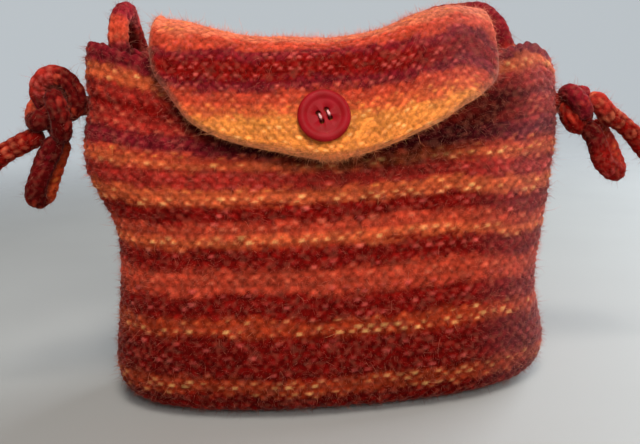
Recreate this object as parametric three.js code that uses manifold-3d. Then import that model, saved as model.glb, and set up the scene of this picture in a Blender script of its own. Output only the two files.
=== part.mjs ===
import * as THREE from "three";
import { mergeVertices } from "three/addons/utils/BufferGeometryUtils.js";
import Module from "manifold-3d";

// Frame: millimetres, +Z up, the front with the flap faces -Y, the base stands on Z = 0.

// Bag body
const WALL = 4.0;
const BODY_SIDES = 48;
const ROUNDNESS_LOW = 2.5;
const ROUNDNESS_TOP = 2.15;
const RIM_NOMINAL = 176;
const RIM_FRONT_DIP = 16;
const RIM_BACK_DIP = 11;
const RIM_POWER = 2.2;
const RIM_CORNER_LEFT = 2;
const RIM_CORNER_RIGHT = 12;
const RIM_CORNER_FROM = 0.86;
const RIM_LEFT_RISE = 3.5;
const RIM_RIGHT_DROP = 4;
const TURN_STEP = 0.01;
const HEIGHT_STEP = 1;
// Half sizes of the outside at each height: to the left, to the right, to the front and to the back.
const BODY_COLUMNS = ["height", "left", "right", "front", "back"];
const BODY_SECTIONS = [
  [0, 96, 94, 37, 33],
  [3, 104.5, 102, 43, 39],
  [9, 110, 107.5, 46.5, 42],
  [18, 112.5, 109.5, 48, 43.5],
  [30, 112.5, 108.8, 48, 44],
  [46, 110, 106.5, 46.5, 43],
  [63, 107.5, 106, 44.5, 42],
  [82, 106.5, 108.5, 43, 40.5],
  [94, 108.5, 111.5, 41.5, 39.5],
  [106, 113.5, 113.5, 40.5, 38],
  [120, 118, 115.5, 39, 37],
  [136, 117, 116, 36.5, 35],
  [152, 114.5, 114.5, 32.5, 32],
  [165, 113, 110.5, 29, 28.5],
  [178, 111, 103, 27, 26.5],
];
const HOLE_RADIUS = 5.2;
const HOLE_SIDES = 12;
const HOLE_DEPTH = 30;
const LEFT_HOLE = [-113, 0, 148];
const RIGHT_HOLE = [113, 0, 139];

// Flap
const FLAP_THICK = 3.6;
const FLAP_ACROSS = 20;
const FLAP_DOWN = 20;
const FLAP_ROW_CROWDING = 1.35;
const ACROSS_STEP = 0.01;
const ALONG_STEP = 0.5;
const SEAM_GAP = 0.3;
const CREST_Y = -4;
const CREST_COLUMNS = ["across", "height"];
const CREST_LINE = [
  [-80, 184.3],
  [-67, 183],
  [-53, 179.5],
  [-39, 176.2],
  [-20, 173.7],
  [0, 173.1],
  [13, 173.9],
  [27, 176.8],
  [39, 180.4],
  [50, 183.4],
  [60, 185.4],
  [70, 184],
  [80, 178.5],
];
// The fold going up from the seam: shift from the back panel, share of the rise to the crest.
const FOLD_UP = [
  [0, 0],
  [0.6, 0.35],
  [-4.5, 0.78],
];
// The fold going over and down: share of the way from the crest to the shoulder, drop below the crest.
const FOLD_OVER = [
  [-0.5, 0.6],
  [0, 0],
  [0.55, 2.2],
  [0.9, 8.5],
  [1, 15],
];
const HANG_FROM = 26;
const HANG_TO = 82;
const HANG_STEP = 8;
const FLAP_CLEAR = 1.9;
const FLAP_CURL = 5;
const FLAP_CURL_FROM = 165;
const FLAP_CURL_OVER = 45;
// Width of the flap to the left and to the right at each distance along it from the seam at the back rim.
const FLAP_COLUMNS = ["along", "left", "right"];
const FLAP_ROWS = [
  [0, 77.5, 75],
  [28, 77.5, 75],
  [48, 78.3, 76.4],
  [60, 78.6, 77.6],
  [69, 76.8, 76.8],
  [77, 73.2, 74.8],
  [86, 69.2, 71.2],
  [96, 62.5, 64.5],
  [103, 48, 55],
  [108, 25, 41],
  [110, 15, 23],
  [111.5, 7, 5],
];

// Button and its two stitches
const BUTTON_SIDES = 28;
const BUTTON_LIFT = 0.4;
const BUTTON_AT_X = -4.3;
const BUTTON_AT_Z = 139.5;
const BUTTON_TURN = 21;
const BUTTON_SLOPE_REACH = 6;
const BUTTON_SEARCH_STEP = 0.25;
// Profile of the button from its back to its front: radius, height.
const BUTTON_PROFILE = [
  [0, 0],
  [9.6, 0],
  [11.1, 0.7],
  [11.5, 1.6],
  [10.9, 2.5],
  [9.6, 2.9],
  [8.2, 2.6],
  [7.2, 2.1],
  [0, 2.1],
];
const THREAD_HOLE_RADIUS = 1.05;
const THREAD_HOLE_SPACING = 3.9;
const THREAD_HOLE_SIDES = 10;
const THREAD_HOLE_LENGTH = 10;
const THREAD_RADIUS = 0.6;
const THREAD_SIDES = 8;
const THREAD_STEPS = 10;
const THREAD_BRIDGE = 3.1;
const THREAD_FOOT = 0.5;

// Cord
const CORD_RADIUS = 4.6;
const CORD_SIDES = 8;
const STRAP_STEPS = 75;
const LOOP_STEPS = 18;
const TAIL_STEPS = 12;
const KNOT_GAP = 0.95;
const KNOT_SEGMENTS = 6;
const KNOT_SEGMENT_STEPS = 5;
const KNOT_SEGMENT_LAP = 0.08;
const KNOT_CORE_RADIUS = 2.8;
const KNOT_CORE_SIDES = 6;
const KNOT_CORE_STEPS = 14;
// Points of the middle of each cord: x, y, z.
const STRAP_ROUTE = [
  [-124, -2, 148],
  [-116, 0, 148],
  [-108, 0, 148.1],
  [-100.3, 0.5, 154],
  [-97.4, 1, 168],
  [-97.2, 2, 181],
  [-96.4, 7, 188.6],
  [-95.2, 14, 191.5],
  [-95.2, 22, 189.2],
  [-94.8, 28, 181],
  [-91.5, 31.5, 166],
  [-82, 34.5, 143],
  [-79, 38, 113],
  [-74, 42.5, 80],
  [-64, 47.5, 48],
  [-44, 52, 24],
  [-15, 53.5, 14],
  [15, 53.5, 14],
  [42, 52, 26],
  [57, 49, 53],
  [60, 46.5, 86],
  [56, 44.5, 116],
  [48, 42, 143],
  [43, 39.5, 164],
  [49, 36.5, 178],
  [62, 33, 185.5],
  [74, 30, 187],
  [82, 24.5, 186.6],
  [86.4, 18.5, 184],
  [88.8, 11.5, 178.8],
  [90.2, 5, 171.2],
  [92.5, 1.5, 161.5],
  [97, 0.5, 151.5],
  [102.5, 0, 143.6],
  [109, 0, 139.5],
  [117, 0, 139],
  [126, -1, 138],
];
const LEFT_LOOP_ROUTE = [
  [-127.5, -10.5, 134.5],
  [-130.2, -12, 129.6],
  [-134.5, -13, 122],
  [-138.2, -13.5, 114.2],
  [-140.8, -12.6, 108],
  [-140.8, -9.2, 105.4],
  [-138.6, -5.6, 106.8],
  [-136.3, -4, 112.5],
  [-132.9, -3.2, 120.5],
  [-129.5, -3, 128.6],
  [-127.5, -3.2, 133.5],
];
const RIGHT_LOOP_ROUTE = [
  [128.4, -7.6, 128],
  [132.9, -9, 122.4],
  [135, -9.5, 117.3],
  [137.4, -9.5, 110.5],
  [141.6, -8.2, 105.6],
  [147.6, -4.4, 102.6],
  [150.2, -0.4, 104.4],
  [148.2, 1, 110.4],
  [145.2, 1, 117.8],
  [141.2, 2.2, 123.6],
  [137.4, 2.4, 128.4],
];
const LEFT_TAIL_ROUTE = [
  [-135.2, -7, 137],
  [-139, -7.4, 134.6],
  [-148.1, -9, 130.5],
  [-155.2, -10, 126.7],
  [-162.8, -10, 121.6],
  [-169.4, -10, 114.8],
  [-174.1, -9.5, 106.8],
  [-177, -9, 98],
];
const RIGHT_TAIL_ROUTE = [
  [129.4, -7, 140.4],
  [134.6, -8, 139.2],
  [138, -7.5, 135.6],
  [141.5, -6.5, 131.7],
  [146.5, -5.5, 129],
  [152, -5.5, 124.6],
  [157.9, -6, 118.5],
  [164.8, -6, 111],
  [171.1, -5.5, 102.4],
  [175.9, -5, 93.1],
];
// Each knot: its middle, the axis it is wound about, and how far it is spun on that axis.
const LEFT_KNOT = {
  middle: [-127.4, -9, 149],
  axis: [-0.64, -0.74, 0.2],
  spin: 20,
  ring: 9.2,
  wind: 4.9,
};
const RIGHT_KNOT = {
  middle: [125.2, -4, 136.2],
  axis: [0.9, -0.4, 0.15],
  spin: 82,
  ring: 5.7,
  wind: 3.6,
};

const COLOURS = {
  wool: 0x9c3226,
  flap: 0xc4622c,
  cord: 0xa83a34,
  button: 0xa81a2c,
  thread: 0xe4b8b4,
};

const wasm = await Module();
wasm.setup();

// A table's value in one column at a distance given in its first column, by a smooth curve.
function lookup(table, columns, name, at) {
  const column = columns.indexOf(name);
  let i = 0;
  while (i < table.length - 2 && at > table[i + 1][0]) i += 1;
  const before = table[Math.max(i - 1, 0)];
  const start = table[i];
  const end = table[i + 1];
  const after = table[Math.min(i + 2, table.length - 1)];
  const span = end[0] - start[0];
  const t = THREE.MathUtils.clamp((at - start[0]) / span, 0, 1);
  const slopeStart = ((end[column] - before[column]) / (end[0] - before[0])) * span;
  const slopeEnd = ((after[column] - start[column]) / (after[0] - start[0])) * span;
  const t2 = t * t;
  const t3 = t2 * t;
  return (
    (2 * t3 - 3 * t2 + 1) * start[column] +
    (t3 - 2 * t2 + t) * slopeStart +
    (3 * t2 - 2 * t3) * end[column] +
    (t3 - t2) * slopeEnd
  );
}

// The closed body of a geometry, ready to be joined or cut.
function toSolid(geometry) {
  const bare = geometry.clone();
  bare.deleteAttribute("normal");
  bare.deleteAttribute("uv");
  const merged = mergeVertices(bare, 1e-4);
  const mesh = new wasm.Mesh({
    numProp: 3,
    vertProperties: new Float32Array(merged.attributes.position.array),
    triVerts: new Uint32Array(merged.index.array),
  });
  return new wasm.Manifold(mesh);
}

// The geometry of a body after joins and cuts.
function toGeometry(solid) {
  const mesh = solid.getMesh();
  const geometry = new THREE.BufferGeometry();
  geometry.setAttribute("position", new THREE.BufferAttribute(new Float32Array(mesh.vertProperties), 3));
  geometry.setIndex(new THREE.BufferAttribute(new Uint32Array(mesh.triVerts), 1));
  geometry.computeVertexNormals();
  return geometry;
}

function indexed(points, triangles) {
  const geometry = new THREE.BufferGeometry();
  const numbers = points.flatMap((p) => [p.x, p.y, p.z]);
  geometry.setAttribute("position", new THREE.Float32BufferAttribute(numbers, 3));
  geometry.setIndex(triangles);
  geometry.computeVertexNormals();
  return geometry;
}

// A power that keeps the sign of its base.
function signedPower(value, power) {
  return Math.sign(value) * Math.abs(value) ** power;
}

function roundness(height) {
  return THREE.MathUtils.lerp(ROUNDNESS_LOW, ROUNDNESS_TOP, THREE.MathUtils.clamp(height / RIM_NOMINAL, 0, 1));
}

function bodySize(name, height) {
  return lookup(BODY_SECTIONS, BODY_COLUMNS, name, height);
}

// Height of the rim at a direction around the bag: low in the middle of each panel, rounded off at the
// two ends, a little higher on the left and lower on the right.
function rimHeight(angle) {
  const reach = Math.abs(Math.cos(angle));
  const onLeft = Math.cos(angle) < 0;
  const dip = Math.sin(angle) < 0 ? RIM_FRONT_DIP : RIM_BACK_DIP;
  const corner = Math.max(reach - RIM_CORNER_FROM, 0) / (1 - RIM_CORNER_FROM);
  const rounding = (onLeft ? RIM_CORNER_LEFT : RIM_CORNER_RIGHT) * corner ** 2;
  const lift = (onLeft ? RIM_LEFT_RISE : -RIM_RIGHT_DROP) * reach ** 3;
  return RIM_NOMINAL - dip * (1 - reach ** RIM_POWER) - rounding + lift;
}

// A point of the outside of the bag, at a direction around it and a nominal height.
function bodyPoint(angle, nominal) {
  const height = (nominal * rimHeight(angle)) / RIM_NOMINAL;
  const side = Math.cos(angle) < 0 ? "left" : "right";
  const face = Math.sin(angle) < 0 ? "front" : "back";
  const power = 2 / roundness(height);
  return new THREE.Vector3(
    bodySize(side, height) * signedPower(Math.cos(angle), power),
    bodySize(face, height) * signedPower(Math.sin(angle), power),
    height,
  );
}

// The same point moved inward by the thickness of the wall.
function bodyInnerPoint(angle, nominal) {
  const up = Math.min(nominal + HEIGHT_STEP, RIM_NOMINAL);
  const low = Math.max(nominal - HEIGHT_STEP, 0);
  const around = bodyPoint(angle + TURN_STEP, nominal).sub(bodyPoint(angle - TURN_STEP, nominal));
  const upward = bodyPoint(angle, up).sub(bodyPoint(angle, low));
  const outward = around.cross(upward).normalize();
  return bodyPoint(angle, nominal).addScaledVector(outward, -WALL);
}

function bodyShell() {
  const levels = BODY_SECTIONS.map((row) => row[0]).slice(0, -1).concat(RIM_NOMINAL);
  const points = [];
  const ring = (maker, level) => {
    for (let i = 0; i < BODY_SIDES; i += 1) {
      points.push(maker(((i + 0.5) / BODY_SIDES) * 2 * Math.PI, level));
    }
  };
  levels.forEach((level) => ring(bodyPoint, level));
  [...levels].reverse().forEach((level) => ring(bodyInnerPoint, level));
  const rings = points.length / BODY_SIDES;
  const triangles = [];
  for (let r = 0; r < rings - 1; r += 1) {
    for (let i = 0; i < BODY_SIDES; i += 1) {
      const next = (i + 1) % BODY_SIDES;
      const a = r * BODY_SIDES + i;
      const b = r * BODY_SIDES + next;
      const c = a + BODY_SIDES;
      const d = b + BODY_SIDES;
      triangles.push(a, b, d, a, d, c);
    }
  }
  const under = points.push(new THREE.Vector3(0, 0, 0)) - 1;
  const inside = points.push(new THREE.Vector3(0, 0, WALL)) - 1;
  const lastRing = (rings - 1) * BODY_SIDES;
  for (let i = 0; i < BODY_SIDES; i += 1) {
    const next = (i + 1) % BODY_SIDES;
    triangles.push(under, next, i, inside, lastRing + i, lastRing + next);
  }
  return indexed(points, triangles);
}

function sideHole(middle) {
  const cutter = new THREE.CylinderGeometry(HOLE_RADIUS, HOLE_RADIUS, HOLE_DEPTH, HOLE_SIDES);
  cutter.rotateZ(Math.PI / 2);
  cutter.translate(...middle);
  return toSolid(cutter);
}

// Distance of a panel's outside from the middle plane, at a place across and a height.
function panelDepth(face, x, height) {
  const half = bodySize(x < 0 ? "left" : "right", height);
  const power = roundness(height);
  const share = Math.max(1 - Math.abs(x / half) ** power, 0);
  return bodySize(face, height) * share ** (1 / power);
}

function backRimHeight(x) {
  const half = bodySize(x < 0 ? "left" : "right", RIM_NOMINAL);
  const angle = Math.acos(signedPower(THREE.MathUtils.clamp(x / half, -1, 1), ROUNDNESS_TOP / 2));
  return rimHeight(angle);
}

// Side view of the flap's middle surface at a place across: up from the seam, over and down the front.
function flapSection(x) {
  const seam = backRimHeight(x) + SEAM_GAP;
  const crest = lookup(CREST_LINE, CREST_COLUMNS, "height", x);
  const back = panelDepth("back", x, seam) - WALL / 2;
  const hang = (height) => {
    const curl = THREE.MathUtils.clamp((FLAP_CURL_FROM - height) / FLAP_CURL_OVER, 0, 1);
    return -(panelDepth("front", x, height) + FLAP_CLEAR + FLAP_THICK / 2 + FLAP_CURL * curl ** 2);
  };
  const shoulderDrop = FOLD_OVER[FOLD_OVER.length - 1][1];
  const reach = hang(crest - shoulderDrop) - CREST_Y;
  const spots = FOLD_UP.map(([shift, share]) => [back + shift, seam + share * (crest - seam)]);
  FOLD_OVER.forEach(([share, drop]) => spots.push([CREST_Y + share * reach, crest - drop]));
  for (let drop = HANG_FROM; drop <= HANG_TO; drop += HANG_STEP) spots.push([hang(crest - drop), crest - drop]);
  return new THREE.CatmullRomCurve3(spots.map(([y, z]) => new THREE.Vector3(x, y, z)), false, "centripetal");
}

// A point of the flap's middle surface: across runs from -1 to 1, along is the distance from the seam.
function flapPoint(across, along) {
  const x = across * lookup(FLAP_ROWS, FLAP_COLUMNS, across < 0 ? "left" : "right", along);
  const section = flapSection(x);
  return section.getPointAt(along / section.getLength());
}

function flapSheet() {
  const length = FLAP_ROWS[FLAP_ROWS.length - 1][0];
  const points = [];
  const faces = [1, -1];
  for (const face of faces) {
    for (let j = 0; j <= FLAP_DOWN; j += 1) {
      const along = length * (1 - (1 - j / FLAP_DOWN) ** FLAP_ROW_CROWDING);
      for (let i = 0; i <= FLAP_ACROSS; i += 1) {
        const across = (2 * i) / FLAP_ACROSS - 1;
        const spot = flapPoint(across, along);
        const low = Math.max(along - ALONG_STEP, 0);
        const down = flapPoint(across, low + 2 * ALONG_STEP).sub(flapPoint(across, low));
        const sideways = flapPoint(across + ACROSS_STEP, along).sub(flapPoint(across - ACROSS_STEP, along));
        const outward = sideways.cross(down).normalize().negate();
        if (j === 0) outward.z = 0;
        points.push(spot.addScaledVector(outward.normalize(), (face * FLAP_THICK) / 2));
      }
    }
  }
  const row = FLAP_ACROSS + 1;
  const sheet = row * (FLAP_DOWN + 1);
  const triangles = [];
  const quad = (a, b, c, d) => triangles.push(a, b, c, a, c, d);
  for (let j = 0; j < FLAP_DOWN; j += 1) {
    for (let i = 0; i < FLAP_ACROSS; i += 1) {
      const a = j * row + i;
      quad(a, a + row, a + row + 1, a + 1);
      quad(a + sheet, a + 1 + sheet, a + row + 1 + sheet, a + row + sheet);
    }
    const left = j * row;
    const right = left + FLAP_ACROSS;
    quad(left, left + sheet, left + row + sheet, left + row);
    quad(right, right + row, right + row + sheet, right + sheet);
  }
  for (let i = 0; i < FLAP_ACROSS; i += 1) {
    const low = FLAP_DOWN * row + i;
    quad(i, i + 1, i + 1 + sheet, i + sheet);
    quad(low, low + sheet, low + 1 + sheet, low + 1);
  }
  return indexed(points, triangles);
}

// A cord of round section along a list of points.
function tube(points, radius, sides, steps) {
  const outline = [];
  for (let i = 0; i < sides; i += 1) {
    const turn = (i / sides) * 2 * Math.PI;
    outline.push(new THREE.Vector2(radius * Math.cos(turn), radius * Math.sin(turn)));
  }
  const path = new THREE.CatmullRomCurve3(points.map((p) => new THREE.Vector3(...p)), false, "centripetal");
  return new THREE.ExtrudeGeometry(new THREE.Shape(outline), { steps, bevelEnabled: false, extrudePath: path });
}

// A round end for a cord.
function roundEnd(point, radius, sides) {
  const ball = new THREE.SphereGeometry(radius, sides, Math.round(sides / 2));
  ball.translate(...point);
  return toSolid(ball);
}

// A knot as lapping lengths of cord along a winding that passes twice round a ring, over a core.
// It can be grown all over to cut its neighbours clear of it.
function knot(shape, grow) {
  const axis = new THREE.Vector3(...shape.axis).normalize();
  const turn = new THREE.Quaternion().setFromUnitVectors(new THREE.Vector3(0, 0, 1), axis);
  const spin = new THREE.Quaternion().setFromAxisAngle(axis, THREE.MathUtils.degToRad(shape.spin));
  const middle = new THREE.Vector3(...shape.middle);
  const spot = (t) => {
    const reach = shape.ring + shape.wind * Math.cos(3 * t);
    const rise = shape.wind * Math.sin(3 * t);
    const local = new THREE.Vector3(reach * Math.cos(2 * t), reach * Math.sin(2 * t), rise);
    return local.applyQuaternion(turn).applyQuaternion(spin).add(middle).toArray();
  };
  const share = (2 * Math.PI) / KNOT_SEGMENTS;
  const lap = KNOT_SEGMENT_LAP * (1 + grow);
  const lengths = [];
  for (let k = 0; k < KNOT_SEGMENTS; k += 1) {
    const spots = [];
    for (let i = 0; i <= KNOT_SEGMENT_STEPS; i += 1) {
      const t = THREE.MathUtils.lerp(-lap, 1 + lap, i / KNOT_SEGMENT_STEPS);
      spots.push(spot((k + t) * share));
    }
    lengths.push(toSolid(tube(spots, CORD_RADIUS + grow, CORD_SIDES, KNOT_SEGMENT_STEPS)));
  }
  const coreRadius = KNOT_CORE_RADIUS + grow;
  const core = new THREE.TorusGeometry(shape.ring, coreRadius, KNOT_CORE_SIDES, KNOT_CORE_STEPS);
  core.applyQuaternion(turn);
  core.applyQuaternion(spin);
  core.translate(...shape.middle);
  return lengths.reduce((whole, length) => whole.add(length), toSolid(core));
}

// A stitch of thread: up out of one hole, across and down into the other.
function stitch(offset) {
  const half = THREAD_HOLE_SPACING / 2;
  const points = [
    [offset, -half, THREAD_FOOT],
    [offset, -half, THREAD_BRIDGE - 1.1],
    [offset, -half + 0.5, THREAD_BRIDGE - 0.2],
    [offset, 0, THREAD_BRIDGE + 0.1],
    [offset, half - 0.5, THREAD_BRIDGE - 0.2],
    [offset, half, THREAD_BRIDGE - 1.1],
    [offset, half, THREAD_FOOT],
  ];
  return tube(points, THREAD_RADIUS, THREAD_SIDES, THREAD_STEPS);
}

function buttonDisc() {
  const profile = BUTTON_PROFILE.map(([radius, height]) => new THREE.Vector2(radius, height));
  const disc = new THREE.LatheGeometry(profile, BUTTON_SIDES);
  disc.rotateX(Math.PI / 2);
  let solid = toSolid(disc);
  for (const sx of [-1, 1]) {
    for (const sy of [-1, 1]) {
      const radius = THREAD_HOLE_RADIUS;
      const drill = new THREE.CylinderGeometry(radius, radius, THREAD_HOLE_LENGTH, THREAD_HOLE_SIDES);
      drill.rotateX(Math.PI / 2);
      drill.translate((sx * THREAD_HOLE_SPACING) / 2, (sy * THREAD_HOLE_SPACING) / 2, 0);
      solid = solid.subtract(toSolid(drill));
    }
  }
  return toGeometry(solid);
}

// Carries a shape made on the XY plane to the front of the flap, where the button sits.
function toFlapFront(geometry) {
  let along = FLAP_ROWS[FLAP_ROWS.length - 1][0];
  while (flapPoint(0, along).z < BUTTON_AT_Z) along -= BUTTON_SEARCH_STEP;
  const above = flapPoint(0, along - BUTTON_SLOPE_REACH);
  const below = flapPoint(0, along + BUTTON_SLOPE_REACH);
  const up = above.clone().sub(below).normalize();
  const right = new THREE.Vector3(1, 0, 0);
  const outward = right.clone().cross(up).normalize();
  const spot = flapPoint(0, along);
  spot.x = BUTTON_AT_X;
  spot.addScaledVector(outward, FLAP_THICK / 2 + BUTTON_LIFT);
  const place = new THREE.Matrix4().makeBasis(right, up, outward).setPosition(spot);
  geometry.rotateZ(THREE.MathUtils.degToRad(BUTTON_TURN));
  geometry.applyMatrix4(place);
  return geometry;
}

const part = new THREE.Group();

function addNode(name, geometry, colour, roughness) {
  const material = new THREE.MeshStandardMaterial({ color: colour, roughness, metalness: 0 });
  const mesh = new THREE.Mesh(geometry, material);
  mesh.name = name;
  part.add(mesh);
}

const body = toSolid(bodyShell()).subtract(sideHole(LEFT_HOLE)).subtract(sideHole(RIGHT_HOLE));
addNode("bag_body", toGeometry(body), COLOURS.wool, 0.95);
addNode("flap", flapSheet(), COLOURS.flap, 0.95);
addNode("button", toFlapFront(buttonDisc()), COLOURS.button, 0.35);
addNode("button_stitch_left", toFlapFront(stitch(-THREAD_HOLE_SPACING / 2)), COLOURS.thread, 0.8);
addNode("button_stitch_right", toFlapFront(stitch(THREAD_HOLE_SPACING / 2)), COLOURS.thread, 0.8);

const leftKeepOut = knot(LEFT_KNOT, KNOT_GAP);
const rightKeepOut = knot(RIGHT_KNOT, KNOT_GAP);

// The largest of the bodies left after a cut.
function mainBody(solid) {
  return solid.decompose().reduce((best, next) => (next.volume() > best.volume() ? next : best));
}

const strap = toSolid(tube(STRAP_ROUTE, CORD_RADIUS, CORD_SIDES, STRAP_STEPS));
addNode("strap", toGeometry(mainBody(strap.subtract(leftKeepOut).subtract(rightKeepOut))), COLOURS.cord, 0.95);

function addCordEnd(side, shape, keepOut, loopRoute, tailRoute) {
  addNode(side + "_knot", toGeometry(knot(shape, 0)), COLOURS.cord, 0.95);
  const loop = toSolid(tube(loopRoute, CORD_RADIUS, CORD_SIDES, LOOP_STEPS)).subtract(keepOut);
  addNode(side + "_loop", toGeometry(mainBody(loop)), COLOURS.cord, 0.95);
  const tip = roundEnd(tailRoute[tailRoute.length - 1], CORD_RADIUS, CORD_SIDES);
  const tail = toSolid(tube(tailRoute, CORD_RADIUS, CORD_SIDES, TAIL_STEPS)).add(tip).subtract(keepOut);
  addNode(side + "_tail", toGeometry(mainBody(tail)), COLOURS.cord, 0.95);
}

addCordEnd("left", LEFT_KNOT, leftKeepOut, LEFT_LOOP_ROUTE, LEFT_TAIL_ROUTE);
addCordEnd("right", RIGHT_KNOT, rightKeepOut, RIGHT_LOOP_ROUTE, RIGHT_TAIL_ROUTE);

export default part;
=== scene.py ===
import math

import bpy
import numpy as np
from mathutils import Matrix, Vector


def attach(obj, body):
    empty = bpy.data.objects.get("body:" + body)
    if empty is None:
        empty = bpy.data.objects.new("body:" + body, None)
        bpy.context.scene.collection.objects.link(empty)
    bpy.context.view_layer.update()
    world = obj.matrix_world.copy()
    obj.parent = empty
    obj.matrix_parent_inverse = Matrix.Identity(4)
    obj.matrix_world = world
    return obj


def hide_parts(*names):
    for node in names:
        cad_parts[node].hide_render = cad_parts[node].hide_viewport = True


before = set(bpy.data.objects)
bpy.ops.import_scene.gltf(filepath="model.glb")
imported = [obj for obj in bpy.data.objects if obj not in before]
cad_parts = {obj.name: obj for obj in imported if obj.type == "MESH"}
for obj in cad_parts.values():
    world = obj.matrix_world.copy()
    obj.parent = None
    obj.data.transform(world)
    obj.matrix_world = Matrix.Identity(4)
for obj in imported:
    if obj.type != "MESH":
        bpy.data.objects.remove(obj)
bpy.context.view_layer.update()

# Camera, at the photograph's viewing angle: place in metres, turns in degrees
CAMERA_AT = (-0.0249, -0.3201, 0.158)
CAMERA_YAW = 3.5
CAMERA_PITCH = 13.0
CAMERA_ROLL = 2.5
CAMERA_LENS = 36
CAMERA_SENSOR = 36

# Yarn colours, as red, green and blue from 0 to 255
YARN = {
    "gold": (238, 176, 106),
    "amber": (218, 128, 56),
    "peach": (200, 98, 68),
    "orange": (198, 84, 46),
    "coral": (180, 60, 38),
    "russet": (168, 54, 26),
    "crimson": (154, 36, 28),
    "burgundy": (118, 12, 8),
    "plum": (114, 22, 30),
    "maroon": (84, 10, 10),
    "rose": (190, 76, 68),
}

# Bag body: outside half sizes at each height, in metres
HEIGHT, LEFT, RIGHT, FRONT, BACK = range(5)
BODY_SECTIONS = np.array([
    (0.000, 0.0960, 0.0940, 0.0370, 0.0330),
    (0.003, 0.1045, 0.1020, 0.0430, 0.0390),
    (0.009, 0.1100, 0.1075, 0.0465, 0.0420),
    (0.018, 0.1125, 0.1095, 0.0480, 0.0435),
    (0.030, 0.1125, 0.1088, 0.0480, 0.0440),
    (0.046, 0.1100, 0.1065, 0.0465, 0.0430),
    (0.063, 0.1075, 0.1060, 0.0445, 0.0420),
    (0.082, 0.1065, 0.1085, 0.0430, 0.0405),
    (0.094, 0.1085, 0.1115, 0.0415, 0.0395),
    (0.106, 0.1135, 0.1135, 0.0405, 0.0380),
    (0.120, 0.1180, 0.1155, 0.0390, 0.0370),
    (0.136, 0.1170, 0.1160, 0.0365, 0.0350),
    (0.152, 0.1145, 0.1145, 0.0325, 0.0320),
    (0.165, 0.1130, 0.1105, 0.0290, 0.0285),
    (0.178, 0.1110, 0.1030, 0.0270, 0.0265),
])
WALL = 0.004
ROUNDNESS_LOW = 2.5
ROUNDNESS_TOP = 2.15

# Holes for the cord: their places, and how deep and how wide the wall draws in around them
HOLES = [(-0.113, 0.0, 0.148), (0.113, 0.0, 0.139)]
HOLE_PUCKER = 0.003
HOLE_REACH = 0.006

# Rim: its height, its dips at front and back, its corners and lifts at left and right, and its cast-off edge
RIM = 0.176
RIM_DIPS = (0.016, 0.011)
RIM_DIP_POWER = 2.2
RIM_CORNERS = (0.002, 0.012)
RIM_CORNER_FROM = 0.86
RIM_LIFTS = (0.0035, -0.004)
RIM_LIFT_POWER = 3
RIM_LEVEL = 0.165
RIM_MARGIN = 0.002
RIM_STEPS = 8
RIM_RIDGE = 0.0006
RIM_SHADE = 0.95

# The back rim is even where the flap is knitted on: its share of a ridge, and where that fades out
RIM_EVEN = 0.9
RIM_EVEN_ENDS = (0.076, 0.082)

# Closeness of the tables that space the stitches evenly around the wall
SWEEP_POINTS = 721
SWEEP_LEVELS = 120
FINE_LEVELS = 500

# Base: its rows of points, how far its ends draw in, its place in the stripes, and where the relief starts
BASE_ROWS = 10
BASE_DRAW = 0.4
BASE_PLACE = 0.004
FOOT_FLAT = 0.010
FOOT_SWELL = 0.02

# Inside of the wall: depths of its rows, close below the rim and wider further down, and its bumps and shade
INSIDE_DEPTHS = np.concatenate([np.arange(1, 21) * 0.0009, np.linspace(0.022, RIM - WALL * 1.5, 14)])
INSIDE_KNIT_DEPTH = 0.02
INSIDE_BUMP_LEVEL = 0.6
INSIDE_SHADE = 0.8

# Knitting of the body: stitches around, row height, and how far a bump stands up
BODY_STITCHES = 86
BODY_ROW = 0.0031
BODY_BUMP = 0.0012
BODY_BUMP_LEVEL = 0.72
BODY_TABLE_ROWS = 64
FIRST_ROW = 40
POINTS_PER_STITCH = 5
POINTS_PER_ROW = 4
FOLLOW_RIM_FROM = 0.095
TUFT_HEIGHT = 0.45

# One purl bump, in stitches and rows: its shift, bend, width, height, steepness and sizes
CHANCES = 6
BUMP_SHIFT = 0.14
BUMP_BEND = 0.6
BUMP_BEND_LEVEL = 0.3
BUMP_WIDE = 0.43
BUMP_TALL = 0.48
BUMP_STEEP = 1.25
BUMP_LEAST = 0.78
BUMP_VARY = 0.44
BUMP_MOST = 1.25

# One V stitch of the cord, in stitches and rows: lean of its legs, shift, place, width, height and sizes
LEG_LEAN = 0.9
LEG_SHIFT = 0.1
LEG_ASIDE = 0.24
LEG_WIDE = 0.32
LEG_TALL = 0.62
LEG_LEAST = 0.85
LEG_VARY = 0.3

# Slow unevenness: its height in metres, the size of its waves and its seed
BODY_SWELL = (0.0009, 0.055, 21)
STRIPE_DRIFT = (0.0016, 0.09, 31)
FLAP_SWELL = (0.0006, 0.035, 41)
BAND_DRIFT = (0.0012, 0.05, 43)
LUMP_WAVES = 6
LUMP_SPREAD = (0.6, 1.4)
LUMP_PHASE = 6.28

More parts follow.
